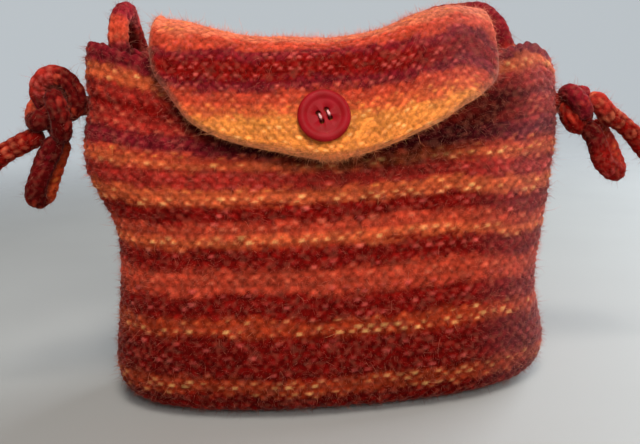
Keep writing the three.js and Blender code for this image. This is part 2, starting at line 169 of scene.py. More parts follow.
# Stripes of the body from the top down: lowest height, yarn, share of flecked stitches, yarn of the flecks
BODY_STRIPES = [
    (0.169, "plum", 0.35, "crimson"),
    (0.162, "orange", 0.55, "gold"),
    (0.155, "crimson", 0.45, "russet"),
    (0.149, "burgundy", 0.35, "rose"),
    (0.1395, "crimson", 0.75, "peach"),
    (0.1300, "plum", 0.45, "rose"),
    (0.1258, "coral", 0.50, "amber"),
    (0.1214, "orange", 0.70, "gold"),
    (0.111, "crimson", 0.50, "rose"),
    (0.1078, "orange", 0.50, "amber"),
    (0.1035, "orange", 0.80, "gold"),
    (0.094, "burgundy", 0.35, "rose"),
    (0.088, "coral", 0.55, "peach"),
    (0.0835, "orange", 0.80, "gold"),
    (0.0725, "burgundy", 0.30, "rose"),
    (0.066, "coral", 0.55, "peach"),
    (0.061, "coral", 0.50, "rose"),
    (0.0495, "burgundy", 0.35, "rose"),
    (0.0415, "russet", 0.65, "gold"),
    (0.0215, "burgundy", 0.30, "rose"),
    (0.0135, "russet", 0.65, "gold"),
    (-1.0, "burgundy", 0.40, "crimson"),
]

# Run of the stripes: their slope across the bag, how it turns towards the rim, and their soft changes
STRIPE_SLOPE = -0.016
STRIPE_TURN = 2.6
STRIPE_TURN_RISE = (0.115, 0.165)
STRIPE_WOBBLE = 0.0016
STRIPE_BLUR = 0.0011
STRIPE_BLUR_STEPS = 16
STRIPE_STEP = 0.00025
STRIPE_PLACES = (-0.02, 0.75)

# Colour of a stitch: spread of its shades, shares of the second yarn, which shows most on the bump tops as
# fleck yarn and as a painted highlight, and the painted shade between the bumps
STITCH_SHADES = 0.5
FLECK_LEAST = 0.4
FLECK_VARY = 0.5
FLECK_FAINT = 0.15
FLECK_RISE = (0.72, 1.08)
GAP_SHADE = 0.64
GAP_RISE = (0.1, 0.8)

# Painted shade: the body is darker low down, as in shadow near the floor
LOW_SHADE = 0.62
LOW_SHADE_TO = 0.10

# Painted shadow under the flap's free edge: aside, drop and reach at its left and right, and how it fades
# with height
UNDER_SHADE = 0.84
SHADE_LEFT = np.array((0.0, 0.0016, 0.0046))
SHADE_RIGHT = np.array((0.004, 0.0085, 0.0125))
SHADE_TURN = (-0.01, 0.05)
SHADE_FADE = (0.137, 0.157)
SHADE_LEAST = 0.45

# Painted haze of light from the right, a pale veil that grows towards the right: its colour, greatest share,
# and where it starts and is full
PAINTED_HAZE = (130, 120, 126)
BODY_PAINTED_HAZE = (0.15, 0.055, 0.113)
FLAP_PAINTED_HAZE = (0.12, 0.03, 0.078)

# Flap: side view of its fold, in metres
FLAP_THICK = 0.0036
SEAM_GAP = 0.0003
CREST_HALF = 0.080
CREST_Y = -0.004
CREST_LINE = np.array([
    (-0.080, 0.1843), (-0.067, 0.1830), (-0.053, 0.1795), (-0.039, 0.1762), (-0.020, 0.1737), (0.000, 0.1731),
    (0.013, 0.1739), (0.027, 0.1768), (0.039, 0.1804), (0.050, 0.1834), (0.060, 0.1854), (0.070, 0.1840),
    (0.080, 0.1785),
])
FOLD_UP = [(0.0, 0.0), (0.0006, 0.35), (-0.0045, 0.78)]
FOLD_OVER = [(-0.5, 0.0006), (0.0, 0.0), (0.55, 0.0022), (0.9, 0.0085), (1.0, 0.015)]
HANG_FROM = 0.026
HANG_TO = 0.082
HANG_STEP = 0.008
FLAP_CLEAR = 0.0019
FLAP_CURL = 0.005
FLAP_CURL_FROM = 0.165
FLAP_CURL_OVER = 0.045

# Flap: distance along from the seam with half widths to the left and right, and its closeness
FLAP_ROWS = np.array([
    (0.0000, 0.0775, 0.0750),
    (0.0280, 0.0775, 0.0750),
    (0.0480, 0.0783, 0.0764),
    (0.0600, 0.0786, 0.0776),
    (0.0690, 0.0768, 0.0768),
    (0.0770, 0.0728, 0.0744),
    (0.0853, 0.0684, 0.0704),
    (0.0945, 0.0614, 0.0642),
    (0.1014, 0.0472, 0.0552),
    (0.1060, 0.0250, 0.0432),
    (0.1083, 0.0150, 0.0210),
    (0.1100, 0.0070, 0.0050),
])
FLAP_LENGTH = FLAP_ROWS[-1, 0]
FLAP_SIDES_FROM = FLAP_ROWS[1, 0]
FLAP_COLUMNS = 196
FLAP_LINES = 165
SURFACE_SECTIONS = 165
SURFACE_STEPS = 240
SIDE_MARGIN = 0.002
END_MARGIN = 0.004
LAST_CELL = 1.001
FREE_EDGE_POINTS = 90

# Flap: its knitting, its rounded edge with a rolled bead, and the pale edging along the free edge, which is
# partly pale fuzz and partly a painted highlight
FLAP_STITCH = 0.0043
FLAP_ROW = 0.0023
FLAP_KNIT_WIDTH = 0.2
FLAP_SPARE_ROWS = 4
FLAP_BUMP = 0.0006
FLAP_BUMP_LEVEL = 0.7
FLAP_INSIDE_LEVEL = 0.9
FLAP_INSIDE_SHADE = 0.9
FLAP_EDGE = 0.0026
FLAP_TIP_EDGE = 0.9
FLAP_BEAD = 0.0012
FLAP_BEAD_INSIDE = 0.0004
FLAP_BEAD_WIDE = 0.0016
FLAP_SCALLOP = 0.35
FLAP_PALE = 0.25
FLAP_PALE_EDGE = (0.0005, 0.0030)

# Bands of the flap: distance along where each ends, yarns as in the stripes, and their shift by place across
FLAP_BANDS = [
    (0.0060, "burgundy", 0.45, "rose"),
    (0.0110, "coral", 0.50, "rose"),
    (0.0160, "orange", 0.60, "gold"),
    (0.0240, "crimson", 0.50, "rose"),
    (0.0300, "coral", 0.50, "peach"),
    (0.0540, "peach", 0.40, "amber"),
    (0.0608, "coral", 0.40, "rose"),
    (0.0650, "plum", 0.40, "rose"),
    (0.0740, "burgundy", 0.45, "rose"),
    (0.0787, "plum", 0.40, "rose"),
    (0.0845, "coral", 0.50, "peach"),
    (0.0900, "orange", 0.60, "amber"),
    (1.0, "amber", 0.40, "gold"),
]
FLAP_BAND_SHIFT = np.array([
    (-0.082, 0.0070), (-0.074, 0.0044), (-0.066, -0.0004), (-0.058, -0.0015), (-0.030, -0.0004),
    (0.000, 0.0000), (0.030, -0.0030), (0.048, -0.0044), (0.060, -0.0026), (0.070, 0.0005), (0.082, 0.0020),
])

# Button: profile of radius and height, its place on the flap, and its four eyes for the thread
BUTTON_PROFILE = [
    (0.0, 0.0), (0.0096, 0.0), (0.0104, 0.0002), (0.0111, 0.0007), (0.0115, 0.0016), (0.0113, 0.0022),
    (0.0107, 0.0026), (0.0099, 0.0029), (0.0091, 0.0029), (0.0082, 0.0026), (0.0076, 0.0022),
    (0.0070, 0.0021), (0.0, 0.0021),
]
BUTTON_SIDES = 96
BUTTON_X = -0.0043
BUTTON_Z = 0.1395
BUTTON_TURN = 21
BUTTON_LIFT = 0.0004
BUTTON_SLOPE_REACH = 0.006
BUTTON_SEARCH_FROM = 0.05
BUTTON_SEARCH_POINTS = 400
EYE_SPACING = 0.0039
EYE_SIDES = 24
EYE_RADIUS = 0.00105
EYE_MOUTH = EYE_RADIUS * 1.35
EYE_PROFILE = [(0, -0.004), (EYE_RADIUS, -0.004), (EYE_RADIUS, 0.0017), (EYE_MOUTH, 0.0023), (0, 0.0023)]

# Thread: half of its arch as distance in from its foot and height, its twist of two plies, and its colours:
# its own pale colour, and a painted shade where it goes down into the holes
THREAD_ARCH = [(0.0, 0.0005), (0.0, 0.0020), (0.0005, 0.0029)]
THREAD_TOP = 0.0032
THREAD_LEAN = 0.0004
THREAD_RADIUS = 0.0006
THREAD_AROUND = 16
THREAD_STEPS = 10
THREAD_TWIST = 0.0016
THREAD_PLY = 0.12
THREAD_PALE = (236, 176, 174)
THREAD_SHADED = (96, 26, 30)
THREAD_FADE = (0.1, 0.42)

# Cord: thickness, stitches around, row height, relief and closeness
CORD_RADIUS = 0.0046
CORD_STITCHES = 4
CORD_ROW = 0.0042
CORD_BUMP = 0.0011
CORD_BUMP_LEVEL = 0.7
CORD_SWELL = (0.06, 0.016)
CORD_AROUND = 30
CORD_STEP = 0.0009
CORD_LEAST_STEPS = 12
CORD_END = 0.02
CORD_SEEDS = {"strap": 3, "knot": 5, "loop": 8, "tail": 11}
FRAME_START = (0.31, 0.42, 0.85)
KNOT_POINTS = 96
KNOT_ROUND = 2
KNOT_THROUGH = 3

# Strap: middle points in metres, and yarns by the distance along it where each ends
STRAP_ROUTE = [
    (-0.124, -0.002, 0.148), (-0.116, 0.0, 0.148), (-0.108, 0.0, 0.1481), (-0.1003, 0.0005, 0.154),
    (-0.0974, 0.001, 0.168), (-0.0972, 0.002, 0.181), (-0.0964, 0.007, 0.1886), (-0.0952, 0.014, 0.1915),
    (-0.0952, 0.022, 0.1892), (-0.0948, 0.028, 0.181), (-0.0915, 0.0315, 0.166), (-0.082, 0.0345, 0.143),
    (-0.079, 0.038, 0.113), (-0.074, 0.0425, 0.080), (-0.064, 0.0475, 0.048), (-0.044, 0.052, 0.024),
    (-0.015, 0.0535, 0.014), (0.015, 0.0535, 0.014), (0.042, 0.052, 0.026), (0.057, 0.049, 0.053),
    (0.060, 0.0465, 0.086), (0.056, 0.0445, 0.116), (0.048, 0.042, 0.143), (0.043, 0.0395, 0.164),
    (0.049, 0.0365, 0.178), (0.062, 0.033, 0.1855), (0.074, 0.030, 0.187), (0.082, 0.0245, 0.1866),
    (0.0864, 0.0185, 0.184), (0.0888, 0.0115, 0.1788), (0.0902, 0.005, 0.1712), (0.0925, 0.0015, 0.1615),
    (0.097, 0.0005, 0.1515), (0.1025, 0.0, 0.1436), (0.109, 0.0, 0.1395), (0.117, 0.0, 0.139),
    (0.126, -0.001, 0.138),
]
STRAP_YARNS = [
    (0.020, "burgundy", 0.3, "plum"), (0.050, "plum", 0.5, "rose"), (0.059, "coral", 0.7, "peach"),
    (0.082, "plum", 0.5, "rose"), (0.130, "maroon", 0.4, "crimson"), (0.170, "coral", 0.4, "orange"),
    (0.210, "crimson", 0.4, "burgundy"), (0.250, "orange", 0.4, "amber"), (0.300, "burgundy", 0.4, "plum"),
    (0.350, "coral", 0.4, "orange"), (0.400, "crimson", 0.4, "rose"), (0.450, "orange", 0.4, "gold"),
    (0.500, "burgundy", 0.4, "crimson"), (0.528, "coral", 0.5, "orange"), (0.583, "plum", 0.4, "maroon"),
    (0.600, "crimson", 0.6, "peach"), (9.0, "burgundy", 0.4, "plum"),
]

# Ends of the cord: the knot's winding and thickness, the routes of loop and tail, and the yarns of all three
LEFT_END = {
    "middle": (-0.1274, -0.009, 0.149),
    "axis": (-0.64, -0.74, 0.2),
    "spin": 20,
    "ring": 0.0092,
    "wind": 0.0049,
    "thick": 0.0045,
    "loop": [
        (-0.1275, -0.0105, 0.1345), (-0.1302, -0.012, 0.1296), (-0.1345, -0.013, 0.122),
        (-0.1382, -0.0135, 0.1142), (-0.1408, -0.0126, 0.108), (-0.1408, -0.0092, 0.1054),
        (-0.1386, -0.0056, 0.1068), (-0.1363, -0.004, 0.1125), (-0.1329, -0.0032, 0.1205),
        (-0.1295, -0.003, 0.1286), (-0.1275, -0.0032, 0.1335),
    ],
    "tail": [
        (-0.1352, -0.007, 0.137), (-0.139, -0.0074, 0.1346), (-0.1481, -0.009, 0.1305),
        (-0.1552, -0.010, 0.1267), (-0.1628, -0.010, 0.1216), (-0.1694, -0.010, 0.1148),
        (-0.1741, -0.0095, 0.1068), (-0.177, -0.009, 0.098),
    ],
    "knot_yarns": [
        (0.002, "maroon", 0.4, "coral"), (0.018, "crimson", 0.5, "rose"), (0.046, "maroon", 0.4, "plum"),
        (0.074, "maroon", 0.4, "crimson"), (0.096, "crimson", 0.5, "rose"), (0.110, "coral", 0.6, "peach"),
        (0.132, "maroon", 0.4, "crimson"), (9.0, "maroon", 0.4, "coral"),
    ],
    "loop_yarns": [
        (0.030, "maroon", 0.3, "plum"), (0.036, "maroon", 0.4, "russet"), (9.0, "russet", 0.4, "amber"),
    ],
    "tail_yarns": [
        (0.018, "burgundy", 0.7, "peach"), (0.030, "burgundy", 0.6, "peach"),
        (9.0, "russet", 0.5, "burgundy"),
    ],
}
RIGHT_END = {
    "middle": (0.1252, -0.004, 0.1362),
    "axis": (0.9, -0.4, 0.15),
    "spin": 82,
    "ring": 0.0057,
    "wind": 0.0036,
    "thick": 0.0042,
    "loop": [
        (0.1284, -0.0076, 0.128), (0.1329, -0.009, 0.1224), (0.135, -0.0095, 0.1173),
        (0.1374, -0.0095, 0.1105), (0.1416, -0.0082, 0.1056), (0.1476, -0.0044, 0.1026),
        (0.1502, -0.0004, 0.1044), (0.1482, 0.001, 0.1104), (0.1452, 0.001, 0.1178),
        (0.1412, 0.0022, 0.1236), (0.1374, 0.0024, 0.1284),
    ],
    "tail": [
        (0.1294, -0.007, 0.1404), (0.1346, -0.008, 0.1392), (0.138, -0.0075, 0.1356),
        (0.1415, -0.0065, 0.1317), (0.1465, -0.0055, 0.129), (0.152, -0.0055, 0.1246),
        (0.1579, -0.006, 0.1185), (0.1648, -0.006, 0.111), (0.1711, -0.0055, 0.1024),
        (0.1759, -0.005, 0.0931),
    ],
    "knot_yarns": [
        (0.018, "plum", 0.4, "crimson"), (0.031, "burgundy", 0.5, "coral"), (0.055, "burgundy", 0.4, "plum"),
        (9.0, "plum", 0.4, "crimson"),
    ],
    "loop_yarns": [
        (0.014, "maroon", 0.3, "plum"), (0.036, "burgundy", 0.5, "rose"), (9.0, "crimson", 0.5, "orange"),
    ],
    "tail_yarns": [
        (0.012, "crimson", 0.5, "peach"), (0.034, "burgundy", 0.6, "peach"), (9.0, "burgundy", 0.4, "coral"),
    ],
}

# Loose fibres: numbers of short and long ones on each piece, and the two kinds, with sizes in metres
BODY_FIBRES = (38000, 1600)
FLAP_FIBRES = (26500, 950)
CORD_FIBRES = (16000, 800)
FIBRE_KINDS = [
    {"bent": False, "length": 0.0026, "radius": 0.00007, "outward": 0.85, "pale": 0.15},
    {"bent": True, "length": 0.0046, "radius": 0.00006, "outward": 0.6, "pale": 0.4},
]
FIBRE_LENGTHS = (4, 0.25)
FIBRE_DRIFT = 0.6
FIBRE_TILT = 0.1
FIBRE_DEPTH = 0.0005
FIBRE_TO_BEND = 0.55
FIBRE_PAST_BEND = 0.45
FIBRE_TAPER = 0.75
# Fibres are lighter than their yarn and take some of a pale colour: partly paler fuzz, partly a painted glow
# of light through the fuzz
FIBRE_SHADES = (1.0, 1.7)
PALE_FUZZ_AND_HIGHLIGHT = (236, 156, 124)
FIBRE_FLOOR = 0.0003

# Fibres along the flap's free edge, and those that bridge its seam
FRINGE_REACH = 0.003
FRINGE_TIMES = 4
FRINGE_LEAN = 0.5
SEAM_ROOTS = 10000

# Wool: name, scale of its grain and weight of its sheen for each use, then the settings that all share
WOOL = {
    "body": ("body_wool", 420, 0.24),
    "flap": ("flap_wool", 500, 0.28),
    "cord": ("cord_wool", 500, 0.15),
    "fibre": ("loose_fibre", 900, 0.25),
    "thread": ("button_thread", 2600, 0.1),
}
WOOL_SURFACE = {
    "Roughness": 0.92, "Specular IOR Level": 0.02, "Sheen Roughness": 0.28, "Sheen Tint": (1.0, 0.5, 0.44, 1),
}
WOOL_GRAIN = {"Detail": 4, "Roughness": 0.6}
WOOL_SHADES = {"From Min": 0.3, "From Max": 0.7, "To Min": 0.6, "To Max": 1.4}
WOOL_BUMP = {"Strength": 0.6, "Distance": 0.0006}
SPECK_SCALE = 0.8
SPECK_SHARE = {"From Min": 0.5, "From Max": 0.75, "To Max": 0.08}
SPECK_COLOUR = (226, 130, 100)

# Plastic of the button: its gloss, its clouded colour and its fine scuffs
PLASTIC_SPECULAR = 0.10
PLASTIC_CLOUDS = {"Scale": 220, "Detail": 3}
PLASTIC_COLOURS = [(0.3, (132, 9, 12)), (0.7, (150, 14, 26))]
PLASTIC_SCUFFS = {"Scale": 900, "Detail": 4}
PLASTIC_ROUGHNESS = {"To Min": 0.42, "To Max": 0.58}
PLASTIC_BUMP = {"Strength": 0.08, "Distance": 0.0003}

# Floor: half its side, its grain, and how far out it starts to fade into the studio and where it is gone
FLOOR_HALF = 3.0
FLOOR_ROUGHNESS = 0.7
FLOOR_GRAIN = 60
FLOOR_COLOURS = [(0.0, (0.30, 0.295, 0.285)), (1.0, (0.33, 0.325, 0.315))]
FLOOR_FADE = {"From Min": 0.4, "From Max": 1.3}

# Studio: its light by height around the scene, and lamps by name, place, aim, size, power and colour
STUDIO_COLOURS = [(0.16, (0.50, 0.54, 0.57)), (0.34, (0.09, 0.095, 0.10))]
LAMPS = [
    ("key", (0.0, -0.48, 1.22), (0, 0, 0.10), 0.4, 11.2, (1.0, 0.96, 0.90)),
    ("lamp", (0.2, -1.1, 0.85), (0, 0, 0.10), 0.5, 9.5, (1.0, 0.97, 0.93)),
    ("window", (1.5, 0.8, 0.8), (0.1, 0, 0.13), 1.4, 65.0, (0.84, 0.93, 1.0)),
]

# Straight up, a full turn, a length too small to matter, and the source of all chance numbers
UP = np.array((0.0, 0.0, 1.0))
TURN = 2 * math.pi
TINY = 1e-12
rng = np.random.default_rng(7)


def link_object(name, data):
    """A new object in the scene."""
    added = bpy.data.objects.new(name, data)
    bpy.context.scene.collection.objects.link(added)
    return added


def make_camera():
    yaw, pitch, roll = (math.radians(turn) for turn in (CAMERA_YAW, CAMERA_PITCH, CAMERA_ROLL))
    ahead = Vector((math.sin(yaw) * math.cos(pitch), math.cos(yaw) * math.cos(pitch), -math.sin(pitch)))
    level = Vector((math.cos(yaw), -math.sin(yaw), 0))
    above = level.cross(ahead)
    right = math.cos(roll) * level - math.sin(roll) * above
    up = math.sin(roll) * level + math.cos(roll) * above
    data = bpy.data.cameras.new("camera")
    data.lens = CAMERA_LENS
    data.sensor_width = CAMERA_SENSOR
    camera = link_object("camera", data)
    camera.matrix_world = Matrix.Translation(CAMERA_AT) @ Matrix((right, up, -ahead)).transposed().to_4x4()
    bpy.context.scene.camera = camera


# Curves, tables and meshes

def lookup(table, column, at):
    """A table's value in one column at a distance given in its first column, by a smooth curve."""
    keys = table[:, 0]
    values = table[:, column]
    i = np.clip(np.searchsorted(keys, at) - 1, 0, len(keys) - 2)
    before = np.maximum(i - 1, 0)
    after = np.minimum(i + 2, len(keys) - 1)
    span = keys[i + 1] - keys[i]
    t = np.clip((at - keys[i]) / span, 0, 1)
    slope_start = (values[i + 1] - values[before]) / (keys[i + 1] - keys[before]) * span
    slope_end = (values[after] - values[i]) / (keys[after] - keys[i]) * span
    return hermite(t, values[i], slope_start, values[i + 1], slope_end)


def side_reach(table, on_left, at):
    return np.where(on_left, lookup(table, LEFT, at), lookup(table, RIGHT, at))


def hermite(t, start, slope_start, end, slope_end):
    return (
        (2 * t**3 - 3 * t**2 + 1) * start
        + (t**3 - 2 * t**2 + t) * slope_start
        + (3 * t**2 - 2 * t**3) * end
        + (t**3 - t**2) * slope_end
    )


def smooth_curve(points, per_span=24):
    """Points of a centripetal curve through the given points."""
    p = np.asarray(points, float)
    p = np.vstack([2 * p[0] - p[1], p, 2 * p[-1] - p[-2]])
    t = np.linspace(0, 1, per_span, endpoint=False)[:, None]
    spans = []
    for k in range(1, len(p) - 2):
        a, b, c, d = p[k - 1:k + 3]
        ab, bc, cd = (math.sqrt(np.linalg.norm(q)) for q in (b - a, c - b, d - c))
        slope_start = ((b - a) / ab - (c - a) / (ab + bc) + (c - b) / bc) * bc
        slope_end = ((c - b) / bc - (d - b) / (bc + cd) + (d - c) / cd) * bc
        spans.append(hermite(t, b, slope_start, c, slope_end))
    return np.vstack(spans + [p[-2][None]])


def arc_lengths(points):
    steps = np.linalg.norm(np.diff(points, axis=0), axis=1)
    return np.concatenate([[0], np.cumsum(steps)])


def at_lengths(points, lengths):
    along = arc_lengths(points)
    return np.stack([np.interp(lengths, along, points[:, k]) for k in range(points.shape[1])], axis=1)


def unit(vectors):
    return vectors / np.maximum(np.linalg.norm(vectors, axis=-1, keepdims=True), TINY)


def signed_power(value, power):
    return np.sign(value) * np.abs(value) ** power


def mix(first, second, share):
    return first * (1 - share) + second * share


def smoothstep(low, high, value):
    t = np.clip((value - low) / (high - low), 0, 1)
    return t * t * (3 - 2 * t)


def roundover(distance, radius, least):
    """How much of its thickness a rounded edge has at a distance from it."""
    return np.sqrt(np.clip(1 - (1 - np.minimum(distance / radius, 1)) ** 2, least, 1))


def linear(colour):
    """A colour given from 0 to 255 as light."""
    c = np.asarray(colour, float) / 255
    return np.where(c <= 0.04045, c / 12.92, ((c + 0.055) / 1.055) ** 2.4)


def grid_faces(rows, columns, wrap=False, closed=False):
    """Quads of a grid of points, whose last column may join its first, and its last row its first."""
    r = np.arange(rows if closed else rows - 1)[:, None]
    c = np.arange(columns if wrap else columns - 1)[None]
    low, high = r * columns, (r + 1) % rows * columns
    n = (c + 1) % columns
    return np.stack([low + c, low + n, high + n, high + c], axis=-1).reshape(-1, 4)


def end_caps(steps, around):
    """The two end faces of a tube."""
    return [list(range(around))[::-1], list(range((steps - 1) * around, steps * around))]


def row_normals(points):
    """Directions square to a grid of points, rows by columns."""
    return unit(np.cross(np.gradient(points, axis=1), np.gradient(points, axis=0)))


def add_mesh(name, points, faces, colours, material, slot):
    """A smooth piece with a colour at each point. Faces are arrays of one size each, or single lists."""
    mesh = bpy.data.meshes.new(name)
    corners = np.concatenate([np.asarray(f).ravel() for f in faces])
    sizes = np.concatenate([np.full(len(f), len(f[0])) for f in faces])
    mesh.vertices.add(points.size // 3)
    mesh.vertices.foreach_set("co", points.astype(np.float32).ravel())
    mesh.loops.add(len(corners))
    mesh.loops.foreach_set("vertex_index", corners.astype(np.int32))
    mesh.polygons.add(len(sizes))
    mesh.polygons.foreach_set("loop_start", np.concatenate([[0], np.cumsum(sizes)[:-1]]).astype(np.int32))
    mesh.update(calc_edges=True)
    mesh.polygons.foreach_set("use_smooth", np.ones(len(sizes), bool))
    if colours is not None:
        layer = mesh.color_attributes.new("yarn", "FLOAT_COLOR", "POINT")
        rgba = np.concatenate([colours, np.ones((*colours.shape[:-1], 1))], axis=-1)
        layer.data.foreach_set("color", rgba.astype(np.float32).ravel())
    mesh.materials.append(material)
    piece = link_object(name, mesh)
    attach(piece, "root")
    return piece


# Knitting

def stitch_table(rows, stitches):
    """Chance numbers for each stitch: size, shift, shade, hue, choice of yarn and place in a stripe."""
    return rng.random((CHANCES, rows, stitches))


def knit(across, up, table):
    """Purl bumps in brick rows: how high each point stands, from 0 to about 1, and its row and stitch."""
    size, shift = table[0], table[1]
    rows, stitches = size.shape
    height = np.zeros(np.shape(across))
    nearest = np.full(np.shape(across), -1.0)
    row_of = np.zeros(np.shape(across), int)
    stitch_of = np.zeros(np.shape(across), int)
    for step in (-1, 0, 1):
        row = np.floor(up).astype(int) + step
        odd = row % 2
        stitch = np.round(across - 0.5 * odd).astype(int)
        r, c = row % rows, stitch % stitches
        dx = across - 0.5 * odd - stitch + BUMP_SHIFT * (shift[r, c] - 0.5)
        bend = np.where(odd == 1, BUMP_BEND, -BUMP_BEND)
        dy = up - row - 0.5 + bend * (dx**2 * 4 - BUMP_BEND_LEVEL)
        away = (dx / BUMP_WIDE) ** 2 + (dy / BUMP_TALL) ** 2
        bump = np.exp(-(away**BUMP_STEEP)) * (BUMP_LEAST + BUMP_VARY * size[r, c])
        height = height + bump
        nearer = bump > nearest
        nearest = np.where(nearer, bump, nearest)
        row_of = np.where(nearer, r, row_of)
        stitch_of = np.where(nearer, c, stitch_of)
    return np.minimum(height, BUMP_MOST), row_of, stitch_of


def knit_cord(across, up, table):
    """Columns of V stitches, as on a knitted cord: height, row and stitch."""
    size, shift = table[0], table[1]
    rows, stitches = size.shape
    column = np.floor(across).astype(int)
    dx = across - column - 0.5
    lean = up + LEG_LEAN * np.abs(dx)
    row = np.floor(lean).astype(int)
    r, c = row % rows, column % stitches
    dy = lean - row - 0.5 + LEG_SHIFT * (shift[r, c] - 0.5)
    dome = 1 - ((np.abs(dx) - LEG_ASIDE) / LEG_WIDE) ** 2 - (dy / LEG_TALL) ** 2
    return np.sqrt(np.clip(dome, 0, 1)) * (LEG_LEAST + LEG_VARY * size[r, c]), r, c


def stripe_tables(stripes):
    """Yarn, second yarn and its share at close places, with soft changes from stripe to stripe."""
    places = np.arange(*STRIPE_PLACES, STRIPE_STEP)
    limits = np.array([limit for limit, *_ in stripes])
    if limits[0] < limits[-1]:
        index = np.searchsorted(limits, places)
    else:
        index = len(limits) - np.searchsorted(limits[::-1], places, side="right")
    index = np.clip(index, 0, len(stripes) - 1)
    rows = [(*linear(YARN[main]), *linear(YARN[second]), share) for _, main, share, second in stripes]
    values = np.array(rows)[index]
    reach = np.arange(-STRIPE_BLUR_STEPS, STRIPE_BLUR_STEPS + 1) * STRIPE_STEP
    weight = np.exp(-0.5 * (reach / STRIPE_BLUR) ** 2)
    return places, [np.convolve(column, weight / weight.sum(), mode="same") for column in values.T]


def stripe_colours(place, stripes, table, relief):
    """Colour of each point from the stripe at its place, with a shade for each stitch, flecks on some that
    are partly a painted highlight on the bump tops, and painted shade between the bumps.
    """
    height, row, stitch = relief
    shade, hue, choice, jitter = table[2:, row, stitch]
    spot = place + STRIPE_WOBBLE * 2 * (jitter - 0.5)
    places, columns = stripe_tables(stripes)
    values = [np.interp(spot, places, column) for column in columns]
    main, second, share = np.stack(values[:3], axis=-1), np.stack(values[3:6], axis=-1), values[6]
    # The second yarn shows most on the bump tops: fleck yarn, and partly a painted highlight
    fleck = np.where(choice < share, FLECK_LEAST + FLECK_VARY * hue, FLECK_FAINT * hue)
    fleck = (fleck * smoothstep(*FLECK_RISE, height))[..., None]
    # Painted shade between the bumps
    gap = GAP_SHADE + (1 - GAP_SHADE) * smoothstep(*GAP_RISE, height)
    return mix(main, second, fleck) * ((1 + STITCH_SHADES * (shade - 0.5)) * gap)[..., None]


def with_painted_haze(colours, points, haze):
    # Painted haze: a pale veil of light from the right, mixed into the colours
    share, start, full = haze
    pale = share * smoothstep(start, full, points[..., 0])[..., None]
    return mix(colours, linear(PAINTED_HAZE), pale)


def lumps(points, height, size, seed):
    """Slow unevenness of the given height, from a few waves of about the given size."""
    waves = np.random.default_rng(seed)
    total = 0
    for _ in range(LUMP_WAVES):
        direction = unit(waves.normal(size=3)) * (TURN / size) * waves.uniform(*LUMP_SPREAD)
        total = total + np.sin(points @ direction + waves.uniform(0, LUMP_PHASE))
    return height * (total / (LUMP_WAVES / 2))


def fibres(name, roots, outward, colours, counts, slot):
    """Loose fibres over a surface: many short straight ones and some long bent ones, as thin closed hairs."""
    parts, quads, triangles, tints = [], [], [], []
    first_point = 0
    for kind, count in zip(FIBRE_KINDS, counts):
        pick = rng.integers(0, len(roots), count)
        out = outward[pick]
        drift = rng.normal(size=(count, 3))
        lean = unit(out * kind["outward"] + drift * FIBRE_DRIFT)
        side = unit(np.cross(lean, drift + FIBRE_TILT))
        other = np.cross(lean, side)
        length = (kind["length"] * rng.gamma(*FIBRE_LENGTHS, count))[:, None]
        ring = [math.cos(a) * side + math.sin(a) * other for a in (0, TURN / 3, TURN * 2 / 3)]
        start = roots[pick] - out * FIBRE_DEPTH
        spots = [start + r * kind["radius"] for r in ring]
        if kind["bent"]:
            middle = start + lean * length * FIBRE_TO_BEND
            turned = unit(lean + rng.normal(size=(count, 3)) * FIBRE_DRIFT)
            spots += [middle + r * kind["radius"] * FIBRE_TAPER for r in ring]
            spots.append(middle + turned * length * FIBRE_PAST_BEND)
        else:
            spots.append(start + lean * length)
        size = len(spots)
        base = first_point + np.arange(count)[:, None] * size
        first_point += count * size
        if kind["bent"]:
            quads += [base + np.array([[k, (k + 1) % 3, 3 + (k + 1) % 3, 3 + k]]) for k in range(3)]
        ends = [[size - 4 + k, size - 4 + (k + 1) % 3, size - 1] for k in range(3)] + [[2, 1, 0]]
        triangles += [base + np.array([end]) for end in ends]
        # Lighter and paler than the yarn: partly pale fuzz, partly a painted glow of light through it
        tint = colours[pick] * rng.uniform(*FIBRE_SHADES, (count, 1))
        tint = np.clip(mix(tint, linear(PALE_FUZZ_AND_HIGHLIGHT), kind["pale"]), 0, 1)
        hairs = np.stack(spots, axis=1).reshape(-1, 3)
        hairs[:, 2] = np.maximum(hairs[:, 2], FIBRE_FLOOR)
        parts.append(hairs)
        tints.append(np.repeat(tint, size, axis=0))
    faces = [np.vstack(quads), np.vstack(triangles)]
    add_mesh(name, np.vstack(parts), faces, np.vstack(tints), wool["fibre"], slot)


# Materials

def set_inputs(tree, node, inputs):
    """Sets a node's inputs by name. An input given as another node's output is linked to it."""
    for name, value in inputs.items():
        if isinstance(value, bpy.types.NodeSocket):
            tree.links.new(value, node.inputs[name])
        else:
            node.inputs[name].default_value = value


def add_node(tree, kind, output, inputs, **options):
    """The named output of a new node."""
    node = tree.nodes.new(kind)
    for option, value in options.items():
        setattr(node, option, value)
    set_inputs(tree, node, inputs)
    return node.outputs[output]


def add_ramp(tree, value, stops):
    """Colours by a value, from two stops."""
    colour = add_node(tree, "ShaderNodeValToRGB", "Color", {"Fac": value})
    for element, (position, stop) in zip(colour.node.color_ramp.elements, stops):
        element.position = position
        element.color = (*stop, 1)
    return colour


def add_noise(tree, place, inputs):
    return add_node(tree, "ShaderNodeTexNoise", "Fac", {"Vector": place, **inputs})


def add_range(tree, value, inputs, **options):
    return add_node(tree, "ShaderNodeMapRange", "Result", {"Value": value, **inputs}, **options)


def new_material(name):
    """A material, its node tree, its surface node and the place on its object."""
    material = bpy.data.materials.new(name)
    material.use_nodes = True
    tree = material.node_tree
    return material, tree, tree.nodes["Principled BSDF"], add_node(tree, "ShaderNodeTexCoord", "Object", {})


